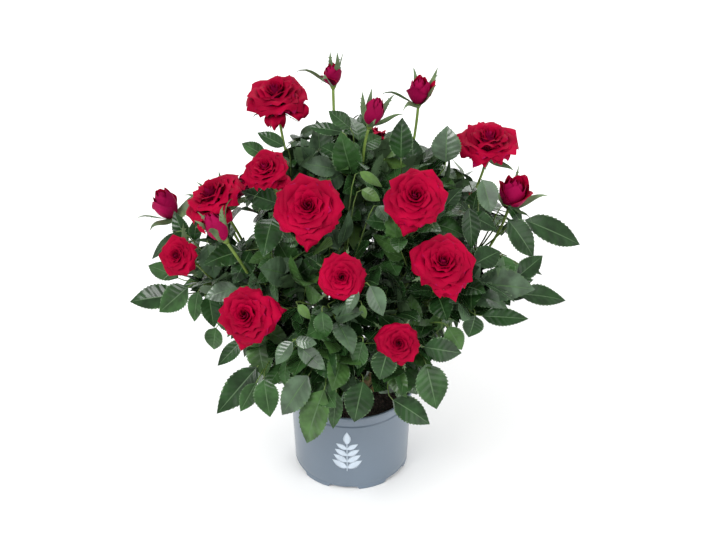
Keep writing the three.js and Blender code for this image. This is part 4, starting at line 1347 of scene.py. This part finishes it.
class ROSE_OT_soil(bpy.types.Operator):
    """Make the potting soil: an uneven surface strewn with crumbs"""

    bl_idname = "rose.soil"
    bl_label = "Soil"

    def execute(self, context):
        colour = context.scene.rose_pot.soil
        dark = clouded("potting soil", colour, 0.95, 0.5, 1.9, 130, bump=0.6)
        crumb = mottled(material("soil crumbs", shade(colour, 2.2), 0.9), colour, shade(colour, 4.5), 300, bump=0.6)
        piece("soil_bed", joined([self.bed(), *self.crumbs()]), [dark, crumb], ["soil"])
        return {"FINISHED"}

    @staticmethod
    def bed():
        """Rings of a closed body. The heights of its top are a sum of sines of place, as low humps."""
        turn = np.linspace(0, 2 * np.pi, 96, endpoint=False)
        levels = np.array([6.0, 8.0, 40.0, SOIL_TOP - 3])
        outer = wall_radius(np.maximum(levels, 8.0)) - POT.wall - CLEARANCE - np.array([2, 0, 0, 0])
        inner = np.linspace(wall_radius(SOIL_TOP) - POT.wall - CLEARANCE - 1.5, 2, 24)
        radius = np.concatenate([outer, inner])[:, None]
        x, y = radius * np.cos(turn), radius * np.sin(turn)
        humps = 0.7 * np.sin(0.31 * x + 1) * np.sin(0.27 * y) + 0.5 * np.sin(0.83 * x + 0.6 * y)
        top = SOIL_TOP - 1.4 + humps + 0.3 * np.sin(1.7 * y - 1.3 * x)
        z = np.concatenate([np.repeat(levels[:, None], len(turn), 1), top[len(levels) :]])
        return capped_rings(np.stack([x, y, z], -1), [0, 0, 6.0], [0, 0, SOIL_TOP - 1.2])

    @staticmethod
    def crumbs():
        """Small lumps, each an octahedron with its corners moved at random, half sunk in the soil."""
        count = 1500
        number = np.arange(count)
        reach = 58 * np.sqrt(scatter(number, 1, 1))
        middle = place(360 * scatter(number, 2, 2), reach, SOIL_TOP - 1.0 + 0.9 * scatter(number, 3, 3))
        corner = np.array([[1, 0, 0], [-1, 0, 0], [0, 1, 0], [0, -1, 0], [0, 0, 1], [0, 0, -1]], float)
        size = mix(0.5, 1.7, scatter(number, 4, 4) ** 3)[:, None, None]
        uneven = mix(0.55, 1.35, scatter(number[:, None, None], np.arange(6)[None, :, None], np.arange(3), 5))
        spin = 2 * np.pi * scatter(number, 6, 6)
        x, y, z = (corner * uneven * size).transpose(2, 0, 1)
        cos, sin = np.cos(spin)[:, None], np.sin(spin)[:, None]
        points = middle[:, None] + np.stack([x * cos - y * sin, x * sin + y * cos, z], -1)
        faces = np.array([[0, 2, 4], [2, 1, 4], [1, 3, 4], [3, 0, 4], [2, 0, 5], [1, 2, 5], [3, 1, 5], [0, 3, 5]])
        corners = (faces[None] + 6 * number[:, None, None]).reshape(-1, 3)
        return [patch(points.reshape(-1, 3), [corners], finish=1)]


class ROSE_OT_wood(bpy.types.Operator):
    """Make the canes and boughs, with ridged bark, leaf scars and thorns"""

    bl_idname = "rose.wood"
    bl_label = "Canes and boughs"

    def execute(self, context):
        settings = context.scene.rose_wood
        canes, masses, _ = grown()
        bark = clouded("ridged bark", settings.bark, 0.85, 0.45, 1.7, 160, stretch=(1, 1, 0.25), bump=0.5)
        shoot = mottled(
            material("green bark", settings.shoot, 0.5), shade(settings.shoot, 0.6), (0.14, 0.09, 0.035), 70,
            stretch=(1, 1, 0.4), bump=0.2,
        )
        thorn = mottled(material("thorns", (0.2, 0.07, 0.03), 0.45), (0.14, 0.04, 0.02), (0.3, 0.16, 0.06), 200)
        ridges = self.ridged(settings.relief, 1)
        stems = [tube(line, self.girth, 20, 36, start=-0.05, relief=ridges) for line in canes]
        for index, line in enumerate(canes):
            stems += prickles(line, self.girth, np.linspace(0.2, 0.9, 6), 1.0, 4.2, index, 1)
        piece("rose_canes", joined(stems), [bark, thorn], [f"cane_{k + 1}" for k in range(CANE.count)])
        ridges = self.ridged(settings.relief, 0.5)
        limbs = []
        for mass in masses:
            limbs.append(tube(mass.line, tapered(2.4, 1.8), 12, 40, 0.0, mass.entry, relief=ridges))
            stations = np.linspace(0.12, mass.entry * 0.95, 9)
            limbs += prickles(mass.line, tapered(2.3, 1.8), stations, 0.7, 3.0, 40 + mass.index, 1)
        piece("rose_boughs", joined(limbs), [shoot, thorn], [f"bough_{mass.name}" for mass in masses])
        return {"FINISHED"}

    @staticmethod
    def girth(share):
        """A cane's radius: an even taper, and a flare over its lowest fifth that fades as a square."""
        return mix(CANE.root, CANE.tip, share) + CANE.flare * np.maximum(0, 1 - share / 0.2) ** 2

    @staticmethod
    def ridged(depth, strength):
        """The relief of bark, as a share of the radius: sines of the angle that wind along the limb, and five
        leaf scars, each a narrow ring."""

        def relief(share, angle):
            """The relief at a share of the limb and an angle round it."""
            ridges = np.sin(5 * angle + 9 * share) * 0.5 + 0.6 * np.sin(3 * angle - 23 * share)
            ridges = ridges + 0.5 * np.sin(11 * angle + 41 * share) * np.sin(17 * share)
            scars = np.exp(-(((share * 5) % 1 - 0.5) / 0.07) ** 2)
            return strength * (depth * ridges + 0.1 * scars)

        return relief


class ROSE_OT_foliage(bpy.types.Operator):
    """Make the twigs and the compound leaves of every mass"""

    bl_idname = "rose.foliage"
    bl_label = "Twigs and leaves"

    def execute(self, context):
        settings = context.scene.rose_leaf
        crown = Crown(*grown())
        for mass in crown.masses:
            mass.first_blade = len(crown.blades)
            crown.fill(mass)
            mass.last_blade = len(crown.blades)
        greens = [
            leaf_material("deep leaf", settings.deep, 0.24, 0.15, 0.26),
            leaf_material("middle leaf", settings.middle, 0.26, 0.15, 0.28),
            # The blue leaf's pale colour is painted sheen; its higher gloss is real.
            leaf_material("blue leaf", settings.blue, 0.27, 0.1, 0.5),
            leaf_material("bright leaf", settings.bright, 0.32, 0.15, 0.26),
            leaf_material("fresh leaf", settings.fresh, 0.34, 0.1, 0.22),
            leaf_material("leaf underside", settings.underside, 0.6, 0.06, 0.25),
            material("leaf midrib", settings.rib, 0.4),
        ]
        for cane in range(CANE.count):
            own = [mass for mass in crown.masses if mass.cane == cane]
            blades = [blade for mass in own for blade in crown.blades[mass.first_blade : mass.last_blade]]
            nodes = [f"foliage_{mass.name}" for mass in own]
            piece(f"leaves_{cane + 1}", blade_patch(gather(blades), UNDERSIDE, RIB), greens, nodes, crease=55)
        wood = context.scene.rose_wood
        twig = clouded("twig skin", wood.shoot, 0.5, 0.8, 1.6, 60, bump=0.15)
        twigs = [tube(line, radius, 6, 6, start, 1.0) for line, start, radius in crown.twigs]
        piece("rose_twigs", joined(twigs), [twig], [f"foliage_{mass.name}" for mass in crown.masses])
        return {"FINISHED"}


class ROSE_OT_flowers(bpy.types.Operator):
    """Make the roses and buds: petals, hips, sepals and stalks"""

    bl_idname = "rose.flowers"
    bl_label = "Flowers"

    def execute(self, context):
        settings = context.scene.rose_flower
        _, _, flowers = grown()
        velvet = {"Specular IOR Level": 0.05}
        petal = [
            clouded(f"petal {side}", colour, roughness, 0.75, 1.15, 40, velvet, bump=0.1, bump_scale=500)
            for side, colour, roughness in (("inside", settings.inside, 0.62), ("outside", settings.outside, 0.6))
        ]
        stalk = clouded("flower stalk", settings.stalk, 0.5, 0.75, 1.25, 60, bump=0.15)
        sepal = clouded("sepal", settings.sepal, 0.55, 0.7, 1.3, 90, bump=0.2)
        groups = {
            "roses_front": [f for f in flowers if f.is_open and f.middle[1] < 0],
            "roses_back": [f for f in flowers if f.is_open and f.middle[1] >= 0],
            "rosebuds": [f for f in flowers if not f.is_open],
        }
        for name, own in groups.items():
            shapes = [petals_of(flower, settings.petals, settings.bud_petals) for flower in own]
            piece(name, joined(shapes), petal, [flower.name for flower in own], crease=60)
        greens, blades = [], []
        for flower in flowers:
            made, sheets = greens_of(flower)
            greens += made
            blades += sepal_lobes(sheets, 1)
        greens.append(blade_patch(gather(blades), 1, 1))
        piece("flower_stalks", joined(greens), [stalk, sepal], [flower.name for flower in flowers], crease=60)
        return {"FINISHED"}


class ROSE_OT_stage(bpy.types.Operator):
    """Make the floor, the soft studio light and the camera"""

    bl_idname = "rose.stage"
    bl_label = "Stage"

    def execute(self, context):
        settings = context.scene.rose_stage
        scene = context.scene
        mesh = bpy.data.meshes.new("floor")
        reach = 6.0
        corners = [(-reach, -reach, 0), (reach, -reach, 0), (reach, reach, 0), (-reach, reach, 0)]
        mesh.from_pydata(corners, [], [(0, 1, 2, 3)])
        mesh.materials.append(clouded("pale floor", settings.floor, 0.9, 0.99, 1, 2))
        floor = new_object("floor", mesh)
        world = bpy.data.worlds.new("even light")
        world.use_nodes = True
        world.node_tree.nodes["Background"].inputs["Color"].default_value = (1, 1, 1, 1)
        world.node_tree.nodes["Background"].inputs["Strength"].default_value = settings.sky
        scene.world = world
        # Each area light: where it is, its size, and its share of the main light's strength. All look at a point
        # in the lower crown.
        for name, spot, size, share in (
            ("key light", (-0.9, -1.3, 1.7), 0.75, 1.0),
            ("fill light", (1.3, -1.1, 1.1), 1.4, 0.45),
            ("back light", (0.3, 1.4, 1.5), 1.2, 0.6),
        ):
            light = bpy.data.lights.new(name, "AREA")
            light.energy, light.size = settings.key * share, size
            lamp = new_object(name, light)
            lamp.location = spot
            aim = np.array([0, 0, 0.22]) - spot
            lamp.rotation_euler = (math.atan2(math.hypot(aim[0], aim[1]), -aim[2]), 0, math.atan2(-aim[0], aim[1]))
        camera = bpy.data.cameras.new("camera")
        camera.sensor_width, camera.lens = 36, SHEET * 36 / SHEET_WIDTH
        view = new_object("camera", camera)
        view.location = VIEWPOINT * MM
        view.rotation_euler = (math.radians(90 - LOOKS_DOWN), 0, 0)
        scene.camera = view
        scene.view_settings.view_transform = "Standard"
        return {"FINISHED"}


OPERATORS = (ROSE_OT_pot, ROSE_OT_soil, ROSE_OT_wood, ROSE_OT_foliage, ROSE_OT_flowers, ROSE_OT_stage)


class ROSE_PT_parts(bpy.types.Panel):
    """The parts of the potted rose"""

    bl_label = "Potted bush rose"
    bl_space_type = "VIEW_3D"
    bl_region_type = "UI"
    bl_category = "Rose"

    def draw(self, context):
        for operator in OPERATORS:
            self.layout.operator(operator.bl_idname)
        for name, group in SETTINGS.items():
            for key in group.__annotations__:
                self.layout.prop(getattr(context.scene, name), key)


def register():
    """Adds the settings, the operators and the panel."""
    for group in (*SETTINGS.values(), *OPERATORS, ROSE_PT_parts):
        bpy.utils.register_class(group)
    for name, group in SETTINGS.items():
        setattr(bpy.types.Scene, name, PointerProperty(type=group))


def unregister():
    """Takes them out again."""
    for name in SETTINGS:
        delattr(bpy.types.Scene, name)
    for group in reversed((*SETTINGS.values(), *OPERATORS, ROSE_PT_parts)):
        bpy.utils.unregister_class(group)


def main():
    """Builds every part in order."""
    register()
    for operator in OPERATORS:
        prefix, name = operator.bl_idname.split(".")
        getattr(getattr(bpy.ops, prefix), name)()


if __name__ == "__main__":
    main()
